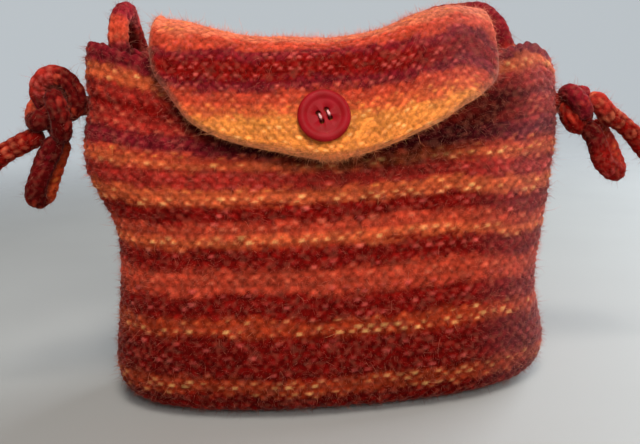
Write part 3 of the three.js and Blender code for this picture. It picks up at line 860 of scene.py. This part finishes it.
def wool_material(name, scale, sheen):
    """Wool in the colours of its stitches, with fine shades and bumps, and pale pink specks of fibre."""
    material, tree, surface, place = new_material(name)
    yarn = add_node(tree, "ShaderNodeVertexColor", "Color", {}, layer_name="yarn")
    grain = add_noise(tree, place, {"Scale": scale, **WOOL_GRAIN})
    inputs = {"Factor": 1, "A": yarn, "B": add_range(tree, grain, WOOL_SHADES)}
    shaded = add_node(tree, "ShaderNodeMix", "Result", inputs, data_type="RGBA", blend_type="MULTIPLY")
    specks = add_noise(tree, place, {"Scale": scale * SPECK_SCALE, "Detail": 0})
    inputs = {"Factor": add_range(tree, specks, SPECK_SHARE), "A": shaded, "B": (*linear(SPECK_COLOUR), 1)}
    speckled = add_node(tree, "ShaderNodeMix", "Result", inputs, data_type="RGBA")
    bump = add_node(tree, "ShaderNodeBump", "Normal", {"Height": grain, **WOOL_BUMP})
    set_inputs(tree, surface, {"Base Color": speckled, "Normal": bump, "Sheen Weight": sheen, **WOOL_SURFACE})
    return material


def plastic_material():
    material, tree, surface, place = new_material("button_plastic")
    clouds = add_noise(tree, place, PLASTIC_CLOUDS)
    colour = add_ramp(tree, clouds, [(position, linear(stop)) for position, stop in PLASTIC_COLOURS])
    scuffs = add_noise(tree, place, PLASTIC_SCUFFS)
    roughness = add_range(tree, scuffs, PLASTIC_ROUGHNESS)
    bump = add_node(tree, "ShaderNodeBump", "Normal", {"Height": scuffs, **PLASTIC_BUMP})
    set_inputs(tree, surface, {"Base Color": colour, "Roughness": roughness, "Normal": bump})
    set_inputs(tree, surface, {"Specular IOR Level": PLASTIC_SPECULAR})
    return material


def floor_material():
    """A pale floor, which far from the middle fades into the studio behind it."""
    material, tree, surface, place = new_material("pale_floor")
    grain = add_node(tree, "ShaderNodeTexNoise", "Fac", {"Scale": FLOOR_GRAIN})
    colour = add_ramp(tree, grain, FLOOR_COLOURS)
    set_inputs(tree, surface, {"Base Color": colour, "Roughness": FLOOR_ROUGHNESS})
    away = add_node(tree, "ShaderNodeVectorMath", "Value", {0: place}, operation="LENGTH")
    fade = add_range(tree, away, FLOOR_FADE, interpolation_type="SMOOTHSTEP")
    clear = add_node(tree, "ShaderNodeBsdfTransparent", "BSDF", {})
    inputs = {"Fac": fade, 1: surface.outputs["BSDF"], 2: clear}
    mixed = add_node(tree, "ShaderNodeMixShader", "Shader", inputs)
    set_inputs(tree, tree.nodes["Material Output"], {"Surface": mixed})
    return material


# Cords

def cord_frames(points, closed):
    """Two directions across a line at each point, carried along without twist."""
    if closed:
        ahead = unit(np.roll(points, -1, axis=0) - np.roll(points, 1, axis=0))
    else:
        ahead = unit(np.gradient(points, axis=0))
    side = np.zeros_like(points)
    side[0] = unit(np.cross(ahead[0], FRAME_START))
    for k in range(1, len(points)):
        side[k] = unit(side[k - 1] - ahead[k] * (side[k - 1] @ ahead[k]))
    other = np.cross(ahead, side)
    if closed:
        # The turn left over after one round is spread along the whole line
        last = unit(side[-1] - ahead[0] * (side[-1] @ ahead[0]))
        left_over = math.atan2(last @ other[0], last @ side[0])
        turn = -left_over * np.arange(len(points))[:, None] / len(points)
        side, other = np.cos(turn) * side + np.sin(turn) * other, np.cos(turn) * other - np.sin(turn) * side
    return side, other


def tube_directions(line, turns, closed=False):
    """Directions out of a line at the given turns around it."""
    side, other = cord_frames(line, closed)
    return np.cos(turns)[None, :, None] * side[:, None] + np.sin(turns)[None, :, None] * other[:, None]


def make_cord(name, middle, yarns, node, seed, radius=CORD_RADIUS, closed=False):
    """A knitted cord along a line, with round ends or joined to itself. Returns the piece and its line."""
    total = arc_lengths(middle)[-1]
    steps = max(int(total / CORD_STEP), CORD_LEAST_STEPS)
    along = np.linspace(0, total, steps, endpoint=not closed)
    line = at_lengths(middle, along)
    around = np.arange(CORD_AROUND) / CORD_AROUND
    outward = tube_directions(line, TURN * around, closed)
    rows = round(total / CORD_ROW)
    table = stitch_table(rows, CORD_STITCHES)
    across, place = np.broadcast_arrays(around[None] * CORD_STITCHES, along[:, None])
    relief = knit_cord(across, place / total * rows, table)
    swell = 1 + lumps(line, *CORD_SWELL, seed)
    size = radius * swell[:, None] + CORD_BUMP * (relief[0] - CORD_BUMP_LEVEL)
    faces = [grid_faces(steps, CORD_AROUND, wrap=True, closed=closed)]
    if not closed:
        size = size * roundover(np.minimum(along, total - along), radius, CORD_END)[:, None]
        faces.append(end_caps(steps, CORD_AROUND))
    points = line[:, None] + outward * size[..., None]
    colours = stripe_colours(place, yarns, table, relief)
    piece = add_mesh(name, points, faces, colours, wool["cord"], "cord_wool")
    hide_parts(node)
    cord_surfaces.append((points, outward, colours))
    return piece, line


def knot_line(end):
    """A winding that passes twice round a ring and three times through it, turned to its axis."""
    axis = Vector(end["axis"]).normalized()
    turn = Vector((0, 0, 1)).rotation_difference(axis).to_matrix()
    spin = Matrix.Rotation(math.radians(end["spin"]), 3, axis)
    t = np.linspace(0, TURN, KNOT_POINTS + 1)
    reach = end["ring"] + end["wind"] * np.cos(KNOT_THROUGH * t)
    rise = end["wind"] * np.sin(KNOT_THROUGH * t)
    local = np.stack([reach * np.cos(KNOT_ROUND * t), reach * np.sin(KNOT_ROUND * t), rise], axis=1)
    return local @ np.array((spin @ turn).transposed()) + np.array(end["middle"])


def make_end(side, end, part, middle, **shape):
    """The knot, loop or tail at one end of the cord."""
    name = side + "_cord_" + part
    return make_cord(name, middle, end[part + "_yarns"], side + "_" + part, CORD_SEEDS[part], **shape)


def make_cords():
    middle = smooth_curve(STRAP_ROUTE)
    strap, line = make_cord("strap_cord", middle, STRAP_YARNS, "strap", CORD_SEEDS["strap"])
    for side, end in (("left", LEFT_END), ("right", RIGHT_END)):
        knot, _ = make_end(side, end, "knot", knot_line(end), radius=end["thick"], closed=True)
        loop, _ = make_end(side, end, "loop", smooth_curve(end["loop"]))
        tail, line = make_end(side, end, "tail", smooth_curve(end["tail"]))
    surfaces = [np.vstack(part).reshape(-1, 3) for part in zip(*cord_surfaces)]
    fibres("cord_fibres", *surfaces, CORD_FIBRES, "cord_wool")


# Bag body

def roundness(height):
    return ROUNDNESS_LOW + (ROUNDNESS_TOP - ROUNDNESS_LOW) * np.clip(height / RIM, 0, 1)


def rim_height(angle):
    """Height of the rim at a direction around the bag."""
    reach = np.abs(np.cos(angle))
    on_left = np.cos(angle) < 0
    dip = np.where(np.sin(angle) < 0, *RIM_DIPS) * (1 - reach**RIM_DIP_POWER)
    corner = np.maximum(reach - RIM_CORNER_FROM, 0) / (1 - RIM_CORNER_FROM)
    rounding = np.where(on_left, *RIM_CORNERS) * corner**2
    lift = np.where(on_left, *RIM_LIFTS) * reach**RIM_LIFT_POWER
    return RIM - dip - rounding + lift


def body_outline(angle, height, face):
    power = 2 / roundness(height)
    x = side_reach(BODY_SECTIONS, np.cos(angle) < 0, height) * signed_power(np.cos(angle), power)
    y = lookup(BODY_SECTIONS, face, height) * signed_power(np.sin(angle), power)
    return x, y


def wall_grid(face):
    """Points of one panel of the bag, from its left end to its right end, row by row of knitting."""
    columns = BODY_STITCHES // 2 * POINTS_PER_STITCH + 1
    share = np.linspace(0, 1, columns)
    half_round = np.linspace(0, math.pi, SWEEP_POINTS)
    sweep = math.pi + half_round if face == FRONT else math.pi - half_round
    top = BODY_SECTIONS[-1, HEIGHT]
    levels = np.linspace(0, top, SWEEP_LEVELS)
    angles = []
    for level in levels:
        x, y = body_outline(sweep, np.full_like(sweep, level), face)
        along = arc_lengths(np.stack([x, y], axis=1))
        angles.append(np.interp(share, along / along[-1], sweep))
    angles = np.array(angles)
    rim = rim_height(angles[np.searchsorted(levels, RIM_LEVEL)])
    rows = int(RIM / BODY_ROW) * POINTS_PER_ROW + 1
    nominal = np.linspace(0, RIM - WALL / 2, rows)
    fine = np.linspace(0, top + RIM_MARGIN, FINE_LEVELS)
    grid = np.zeros((rows, columns, 3))
    for c in range(columns):
        lift = (RIM - rim[c]) * smoothstep(FOLLOW_RIM_FROM, rim[c], fine)
        height = np.interp(nominal, fine + lift, fine)
        angle = np.interp(height, levels, angles[:, c])
        x, y = body_outline(angle, height, face)
        grid[:, c] = np.stack([x, y, height], axis=1)
    return grid, nominal


def drawn_in(line, shares, level):
    """Rows of points between a line around the bag and the middle of its base."""
    x = line[None, :, 0] * (1 - BASE_DRAW * shares)
    y = line[None, :, 1] * (1 - shares)
    return np.stack([x, y, np.full(x.shape, level)], axis=-1)


def rolled_rim(top, outward, wave):
    """Rows of the cast-off rim, which rolls over to the inside and has a ridge at each stitch."""
    turns = np.linspace(0, math.pi, RIM_STEPS)[1:, None, None]
    roll = top - outward * WALL / 2 + (outward * np.cos(turns) + UP * np.sin(turns)) * WALL / 2
    return roll + RIM_RIDGE * wave[None, :, None] * np.sin(turns) * UP


def inside_rows(outer, outward):
    """Rows of the inside of the wall, from the rim down."""
    last = len(outer) - 1
    k = last - np.clip(INSIDE_DEPTHS / BODY_ROW * POINTS_PER_ROW, 0, last - BASE_ROWS)
    low = np.floor(k).astype(int)
    high = np.minimum(low + 1, last)
    share = (k - low)[:, None, None]
    inner = mix(outer[low], outer[high], share) - unit(mix(outward[low], outward[high], share)) * WALL
    inner[..., 2] = np.maximum(inner[..., 2], WALL)
    return inner


def shadow_under_edge(points, edge_line):
    """Painted shadow on the wall where the flap's edge hangs close over it."""
    nearest = np.full(points.shape[:2], np.inf)
    for x, _, z in edge_line:
        share = smoothstep(*SHADE_TURN, x)
        aside, drop, reach = mix(SHADE_LEFT, SHADE_RIGHT, share)
        away = np.hypot(points[..., 0] - x - aside, points[..., 2] - z + drop)
        nearest = np.minimum(nearest, away / reach)
    fade = 1 - (1 - SHADE_LEAST) * smoothstep(*SHADE_FADE, points[..., 2])
    return 1 - UNDER_SHADE * fade * np.exp(-(nearest**2))


def make_panel(face, name, table, edge_line):
    """The front or the back of the bag: half of its base, wall, rim and inside, as one closed piece."""
    wall, nominal = wall_grid(face)
    columns = wall.shape[1]
    inward = np.linspace(1, 0, BASE_ROWS + 1)[:-1, None]
    base = drawn_in(wall[0], inward, 0)
    outer = np.vstack([base, wall])
    outward = row_normals(outer) if face == FRONT else -row_normals(outer)
    outward[:BASE_ROWS] = -UP
    # Stitches across from the left end, and rows up from the wall's foot
    first, step = (0, 1) if face == FRONT else (BODY_STITCHES, -1)
    spread = np.linalg.norm(base - wall[0], axis=-1)
    rise = np.broadcast_to(nominal[:, None], wall.shape[:2])
    up = np.vstack([-spread, rise]) / BODY_ROW + FIRST_ROW
    across = np.broadcast_to(first + step * np.linspace(0, BODY_STITCHES / 2, columns), up.shape)
    relief = knit(across, up, table)
    height = relief[0]
    level = BODY_BUMP_LEVEL + (1 - BODY_BUMP_LEVEL) * (1 - smoothstep(0, FOOT_FLAT, outer[..., 2]))
    swell = lumps(outer, *BODY_SWELL) * smoothstep(0, FOOT_SWELL, outer[..., 2])
    for hole in HOLES:
        away = np.linalg.norm(outer - np.array(hole), axis=-1)
        swell = swell - HOLE_PUCKER * np.exp(-((away / HOLE_REACH) ** 2))
    outside = outer + outward * (BODY_BUMP * (height - level) + swell)[..., None]
    # The rim is even where the flap is knitted on
    wave = np.sin(TURN * across[0])
    if face == BACK:
        wave = wave + (RIM_EVEN - wave) * (1 - smoothstep(*RIM_EVEN_ENDS, np.abs(outer[-1, :, 0])))
    roll = rolled_rim(outer[-1], outward[-1], wave)
    # The inside shows its bumps half a stitch aside, near the rim only
    inner = inside_rows(outer, outward)
    inner_rise = np.broadcast_to((RIM - INSIDE_DEPTHS)[:, None], inner.shape[:2])
    inner_relief = knit(across[:len(inner)] + 0.5, inner_rise / BODY_ROW + FIRST_ROW, table)
    bumps = BODY_BUMP * (inner_relief[0] - INSIDE_BUMP_LEVEL) * (INSIDE_DEPTHS < INSIDE_KNIT_DEPTH)[:, None]
    inner = inner - outward[-1] * bumps[..., None]
    floor = drawn_in(inner[-1], inward[::-1], WALL)
    # Colours by stripe, with painted shade between the bumps and low down, a painted pale haze towards the
    # right, and on the front a painted shadow under the flap's edge
    place = np.vstack([np.full(spread.shape, BASE_PLACE), rise])
    slope = STRIPE_SLOPE * (1 - STRIPE_TURN * smoothstep(*STRIPE_TURN_RISE, place))
    place = place - (slope * outer[..., 0] + lumps(outer, *STRIPE_DRIFT))
    colours = stripe_colours(place, BODY_STRIPES, table, relief)
    colours = colours * (LOW_SHADE + (1 - LOW_SHADE) * smoothstep(0, LOW_SHADE_TO, outer[..., 2]))[..., None]
    colours = with_painted_haze(colours, outer, BODY_PAINTED_HAZE)
    # Painted shadow under the flap's free edge
    if face == FRONT:
        colours = colours * shadow_under_edge(outer, edge_line)[..., None]
    inner_place = inner_rise - STRIPE_SLOPE * inner[..., 0]
    inner_colours = INSIDE_SHADE * stripe_colours(inner_place, BODY_STRIPES, table, inner_relief)
    rim_colours = np.broadcast_to(colours[-1] * RIM_SHADE, roll.shape)
    floor_colours = np.broadcast_to(inner_colours[-1], floor.shape)
    shades = np.vstack([colours, rim_colours, inner_colours, floor_colours]).reshape(-1, 3)
    grid = np.vstack([outside, roll, inner, floor])
    points = grid.reshape(-1, 3)
    rows = len(grid)
    faces = grid_faces(rows, columns, closed=True)
    # The two end sections of the wall close the panel
    ends = [np.arange(rows) * columns, np.arange(rows) * columns + columns - 1]
    loops = [(len(points) + np.arange(rows))[::-1], len(points) + rows + np.arange(rows)]
    if face == BACK:
        faces = faces[:, ::-1]
        loops = [loop[::-1] for loop in loops]
    points = np.vstack([points] + [points[end] for end in ends])
    shades = np.vstack([shades] + [shades[end] for end in ends])
    faces = [faces, [loop.tolist() for loop in loops]]
    piece = add_mesh(name, points, faces, shades, wool["body"], "body_wool")
    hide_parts("bag_body")
    tufts = height > TUFT_HEIGHT
    tufts[:BASE_ROWS] = False
    fibres(name + "_fibres", outside[tufts], outward[tufts], colours[tufts], BODY_FIBRES, "body_wool")


# Flap

def panel_depth(face, x, height):
    power = roundness(height)
    share = np.maximum(1 - np.abs(x / side_reach(BODY_SECTIONS, x < 0, height)) ** power, 0)
    return lookup(BODY_SECTIONS, face, height) * share ** (1 / power)


def back_rim_height(x):
    share = min(max(x / side_reach(BODY_SECTIONS, x < 0, RIM), -1), 1)
    return float(rim_height(math.acos(signed_power(share, ROUNDNESS_TOP / 2))))


def flap_section(x):
    """Side view of the flap's middle surface at a place across: up from the seam, over and down the front."""
    seam = back_rim_height(x) + SEAM_GAP
    crest = float(lookup(CREST_LINE, 1, x))
    back = float(panel_depth(BACK, x, seam)) - WALL / 2

    def hang(height):
        curl = min(max((FLAP_CURL_FROM - height) / FLAP_CURL_OVER, 0), 1)
        return -(float(panel_depth(FRONT, x, height)) + FLAP_CLEAR + FLAP_THICK / 2 + FLAP_CURL * curl**2)

    reach = hang(crest - FOLD_OVER[-1][1]) - CREST_Y
    spots = [(back + shift, seam + share * (crest - seam)) for shift, share in FOLD_UP]
    spots += [(CREST_Y + share * reach, crest - drop) for share, drop in FOLD_OVER]
    spots += [(hang(crest - drop), crest - drop) for drop in np.arange(HANG_FROM, HANG_TO + TINY, HANG_STEP)]
    return smooth_curve(spots)


class FlapSurface:
    """The flap's middle surface as a table of points by place across and distance along."""

    def __init__(self):
        reach = CREST_HALF + SIDE_MARGIN
        self.x = np.linspace(-reach, reach, SURFACE_SECTIONS)
        self.along = np.linspace(0, FLAP_LENGTH + END_MARGIN, SURFACE_STEPS)
        self.table = np.array([at_lengths(flap_section(x), self.along) for x in self.x])

    def at(self, x, along):
        i = np.clip((x - self.x[0]) / (self.x[1] - self.x[0]), 0, len(self.x) - LAST_CELL)
        j = np.clip((along - self.along[0]) / (self.along[1] - self.along[0]), 0, len(self.along) - LAST_CELL)
        i0, j0 = np.floor(i).astype(int), np.floor(j).astype(int)
        a, b = (i - i0)[..., None], (j - j0)[..., None]
        near, far = (mix(self.table[k, j0], self.table[k, j0 + 1], b) for k in (i0, i0 + 1))
        return np.concatenate([np.asarray(x)[..., None], mix(near, far, a)], axis=-1)

    def free_edge(self):
        """Points along the flap's free edge, down the left side and up the right side."""
        along = np.linspace(FLAP_SIDES_FROM, FLAP_LENGTH, FREE_EDGE_POINTS)
        left = self.at(-lookup(FLAP_ROWS, LEFT, along), along)
        right = self.at(lookup(FLAP_ROWS, RIGHT, along), along)
        return np.vstack([left, right[::-1]])


def make_flap(surface):
    across = np.linspace(-1, 1, FLAP_COLUMNS + 1)[None]
    along = np.linspace(0, FLAP_LENGTH, FLAP_LINES + 1)[:, None]
    half = side_reach(FLAP_ROWS, across < 0, along)
    slope = np.gradient(half, along[:, 0], axis=0)
    x = across * half
    along = np.broadcast_to(along, x.shape)
    middle = surface.at(x, along)
    outward = -row_normals(middle)
    # Distance from the free edge, which is rounded and carries a rolled bead
    free = np.minimum((half - np.abs(x)) / np.sqrt(1 + slope**2), (FLAP_LENGTH - along) * FLAP_TIP_EDGE)
    edge = np.minimum(free, along)
    bead = np.exp(-(((edge - FLAP_EDGE) / FLAP_BEAD_WIDE) ** 2))
    bead = bead * (1 + FLAP_SCALLOP * np.cos(TURN * (np.abs(x) - along) / FLAP_STITCH))
    stitches, rows = int(FLAP_KNIT_WIDTH / FLAP_STITCH), int(FLAP_LENGTH / FLAP_ROW) + FLAP_SPARE_ROWS
    table = stitch_table(rows, stitches)
    relief = knit(x / FLAP_STITCH + stitches / 2, along / FLAP_ROW, table)
    swell = lumps(middle, *FLAP_SWELL)
    full = roundover(edge, FLAP_EDGE, 0)
    raised = FLAP_THICK / 2 + FLAP_BEAD * bead + FLAP_BUMP * (relief[0] - FLAP_BUMP_LEVEL)
    lowered = FLAP_THICK / 2 + FLAP_BEAD_INSIDE * bead + FLAP_BUMP * (relief[0] - FLAP_INSIDE_LEVEL)
    outside = middle + outward * (full * raised + swell)[..., None]
    inside = middle - outward * (full * lowered - swell)[..., None]
    drift = lookup(FLAP_BAND_SHIFT, 1, x) + lumps(middle, *BAND_DRIFT)
    colours = stripe_colours(along + drift, FLAP_BANDS, table, relief)
    # Painted haze towards the right; the pale edging along the free edge is partly pale fuzz and partly a
    # painted highlight
    colours = with_painted_haze(colours, middle, FLAP_PAINTED_HAZE)
    pale = FLAP_PALE * (1 - smoothstep(*FLAP_PALE_EDGE, free))[..., None]
    colours = mix(colours, linear(PALE_FUZZ_AND_HIGHLIGHT), pale)
    # The two sides share the points along the border
    outer_index = np.arange(x.size).reshape(x.shape)
    inner_index = outer_index.copy()
    inner_index[1:-1, 1:-1] += x.size
    quads = grid_faces(*x.shape)
    faces = np.vstack([outer_index.ravel()[quads][:, ::-1], inner_index.ravel()[quads]])
    used = np.unique(faces)
    renumber = np.zeros(2 * x.size, int)
    renumber[used] = np.arange(len(used))
    points = np.vstack([outside, inside]).reshape(-1, 3)[used]
    shades = np.vstack([colours, colours * FLAP_INSIDE_SHADE]).reshape(-1, 3)[used]
    ways = np.vstack([outward, -outward]).reshape(-1, 3)[used]
    piece = add_mesh("flap_knit", points, [renumber[faces]], shades, wool["flap"], "flap_wool")
    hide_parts("flap")
    # The free edge carries more fibres, which point away from the flap
    away = np.zeros_like(middle)
    for axis in (1, 0):
        step = np.gradient(middle, axis=axis)
        away = away + unit(step) * (np.gradient(edge, axis=axis) / np.linalg.norm(step, axis=-1))[..., None]
    fringe = (edge < FRINGE_REACH) & (along > FLAP_SIDES_FROM)
    fringe_ways = unit(-unit(away)[fringe] + outward[fringe] * FRINGE_LEAN)
    # Fibres that hang from the first row bridge the seam with the back rim
    seam = surface.at(np.linspace(x[0, 0], x[0, -1], SEAM_ROOTS), np.zeros(SEAM_ROOTS))
    seam_ways = np.tile(-UP, (SEAM_ROOTS, 1))
    seam_tints = np.tile(colours[0].mean(axis=0), (SEAM_ROOTS, 1))
    roots = np.vstack([points] + [outside[fringe]] * FRINGE_TIMES + [seam])
    ways = np.vstack([ways] + [fringe_ways] * FRINGE_TIMES + [seam_ways])
    tints = np.vstack([shades] + [colours[fringe]] * FRINGE_TIMES + [seam_tints])
    fibres("flap_fibres", roots, ways, tints, FLAP_FIBRES, "flap_wool")


# Button and thread

def button_frame(surface):
    """Carries a shape made on the XY plane to the front of the flap."""
    along = np.linspace(BUTTON_SEARCH_FROM, FLAP_LENGTH, BUTTON_SEARCH_POINTS)
    line = surface.at(np.zeros_like(along), along)
    k = int(np.argmin(np.abs(line[:, 2] - BUTTON_Z)))
    reach = int(BUTTON_SLOPE_REACH / (along[1] - along[0]))
    up = Vector(line[k - reach] - line[k + reach]).normalized()
    right = Vector((1, 0, 0))
    outward = right.cross(up).normalized()
    spot = Vector(line[k])
    spot.x = BUTTON_X
    spot += outward * (FLAP_THICK / 2 + BUTTON_LIFT)
    turn = Matrix.Rotation(math.radians(BUTTON_TURN), 4, "Z")
    return Matrix.Translation(spot) @ Matrix((right, up, outward)).transposed().to_4x4() @ turn


def lathe(profile, sides):
    """A turned shape, closed at its first and last points, which are on its axis."""
    turns = np.arange(sides) / sides * TURN
    rings = profile[1:-1]
    grid = np.array([[(r * math.cos(a), r * math.sin(a), z) for a in turns] for r, z in rings])
    points = np.vstack([grid.reshape(-1, 3), [(0, 0, profile[0][1]), (0, 0, profile[-1][1])]])
    faces = grid_faces(len(rings), sides, wrap=True)
    low, high = len(points) - 2, len(points) - 1
    first = np.arange(sides)
    last = (len(rings) - 1) * sides + first
    fans = np.vstack([
        np.stack([np.full(sides, low), np.roll(first, -1), first], axis=1),
        np.stack([np.full(sides, high), last, np.roll(last, -1)], axis=1),
    ])
    return points, [faces, fans]


def make_button(surface):
    """A button with four holes, and two stitches of thread through them."""
    place = button_frame(surface)
    plastic = plastic_material()
    button = add_mesh("coat_button", *lathe(BUTTON_PROFILE, BUTTON_SIDES), None, plastic, "button_plastic")
    half = EYE_SPACING / 2
    drill_points, drill_faces = lathe(EYE_PROFILE, EYE_SIDES)
    for x, y in ((-half, -half), (-half, half), (half, -half), (half, half)):
        drill = add_mesh("drill", drill_points + np.array((x, y, 0)), drill_faces, None, plastic, "")
        cut = button.modifiers.new("hole", "BOOLEAN")
        cut.object = drill
        cut.solver = "EXACT"
        graph = bpy.context.evaluated_depsgraph_get()
        mesh = bpy.data.meshes.new_from_object(button.evaluated_get(graph))
        button.modifiers.clear()
        button.data = mesh
        bpy.data.objects.remove(drill)
    button.data.transform(place)
    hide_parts("button")
    for x, name in ((-half, "left"), (half, "right")):
        thread = make_thread("thread_" + name, x, half - THREAD_LEAN)
        thread.data.transform(place)
        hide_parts("button_stitch_" + name)


def make_thread(name, x, foot):
    """A twisted arch of thread, which is pale on top, with painted shade where it goes down into the holes.
    """
    spots = [(x, shift - foot, z) for shift, z in THREAD_ARCH] + [(x, 0, THREAD_TOP)]
    spots += [(x, foot - shift, z) for shift, z in reversed(THREAD_ARCH)]
    line = smooth_curve(spots, per_span=THREAD_STEPS)
    steps = len(line)
    turns = np.arange(THREAD_AROUND) / THREAD_AROUND * TURN
    twist = arc_lengths(line)[:, None] / THREAD_TWIST * TURN
    size = THREAD_RADIUS * (1 - THREAD_PLY + THREAD_PLY * np.cos(2 * (turns[None] - twist / 2)))
    points = line[:, None] + tube_directions(line, turns) * size[..., None]
    # Painted shade where the thread goes down into the holes
    hole_shade = smoothstep(*THREAD_FADE, np.abs(np.linspace(-1, 1, steps)))[:, None]
    tint = linear(THREAD_PALE) + (linear(THREAD_SHADED) - linear(THREAD_PALE)) * hole_shade
    faces = [grid_faces(steps, THREAD_AROUND, wrap=True), end_caps(steps, THREAD_AROUND)]
    tints = np.repeat(tint, THREAD_AROUND, axis=0)
    return add_mesh(name, points, faces, tints, wool["thread"], "button_thread")


# Light and floor

def area_light(name, at, towards, size, power, colour):
    data = bpy.data.lights.new(name, "AREA")
    data.energy = power
    data.size = size
    data.color = colour
    light = link_object(name, data)
    light.location = at
    light.rotation_euler = (Vector(towards) - Vector(at)).to_track_quat("-Z", "Y").to_euler()


def make_studio():
    bpy.context.scene.view_settings.view_transform = "Standard"
    world = bpy.data.worlds.new("studio")
    world.use_nodes = True
    tree = world.node_tree
    place = add_node(tree, "ShaderNodeTexCoord", "Generated", {})
    height = add_node(tree, "ShaderNodeSeparateXYZ", "Z", {"Vector": place})
    set_inputs(tree, tree.nodes["Background"], {"Color": add_ramp(tree, height, STUDIO_COLOURS)})
    bpy.context.scene.world = world
    for lamp in LAMPS:
        area_light(*lamp)
    corners = [(x * FLOOR_HALF, y * FLOOR_HALF, 0) for x, y in ((-1, -1), (1, -1), (1, 1), (-1, 1))]
    mesh = bpy.data.meshes.new("floor")
    mesh.from_pydata(corners, [], [(0, 1, 2, 3)])
    mesh.materials.append(floor_material())
    link_object("floor", mesh)


make_camera()
wool = {use: wool_material(*settings) for use, settings in WOOL.items()}
cord_surfaces = []
make_cords()
body_table = stitch_table(BODY_TABLE_ROWS, BODY_STITCHES)
flap_surface = FlapSurface()
free_edge = flap_surface.free_edge()
make_panel(FRONT, "bag_front", body_table, free_edge)
make_panel(BACK, "bag_back", body_table, free_edge)
make_flap(flap_surface)
make_button(flap_surface)
make_studio()
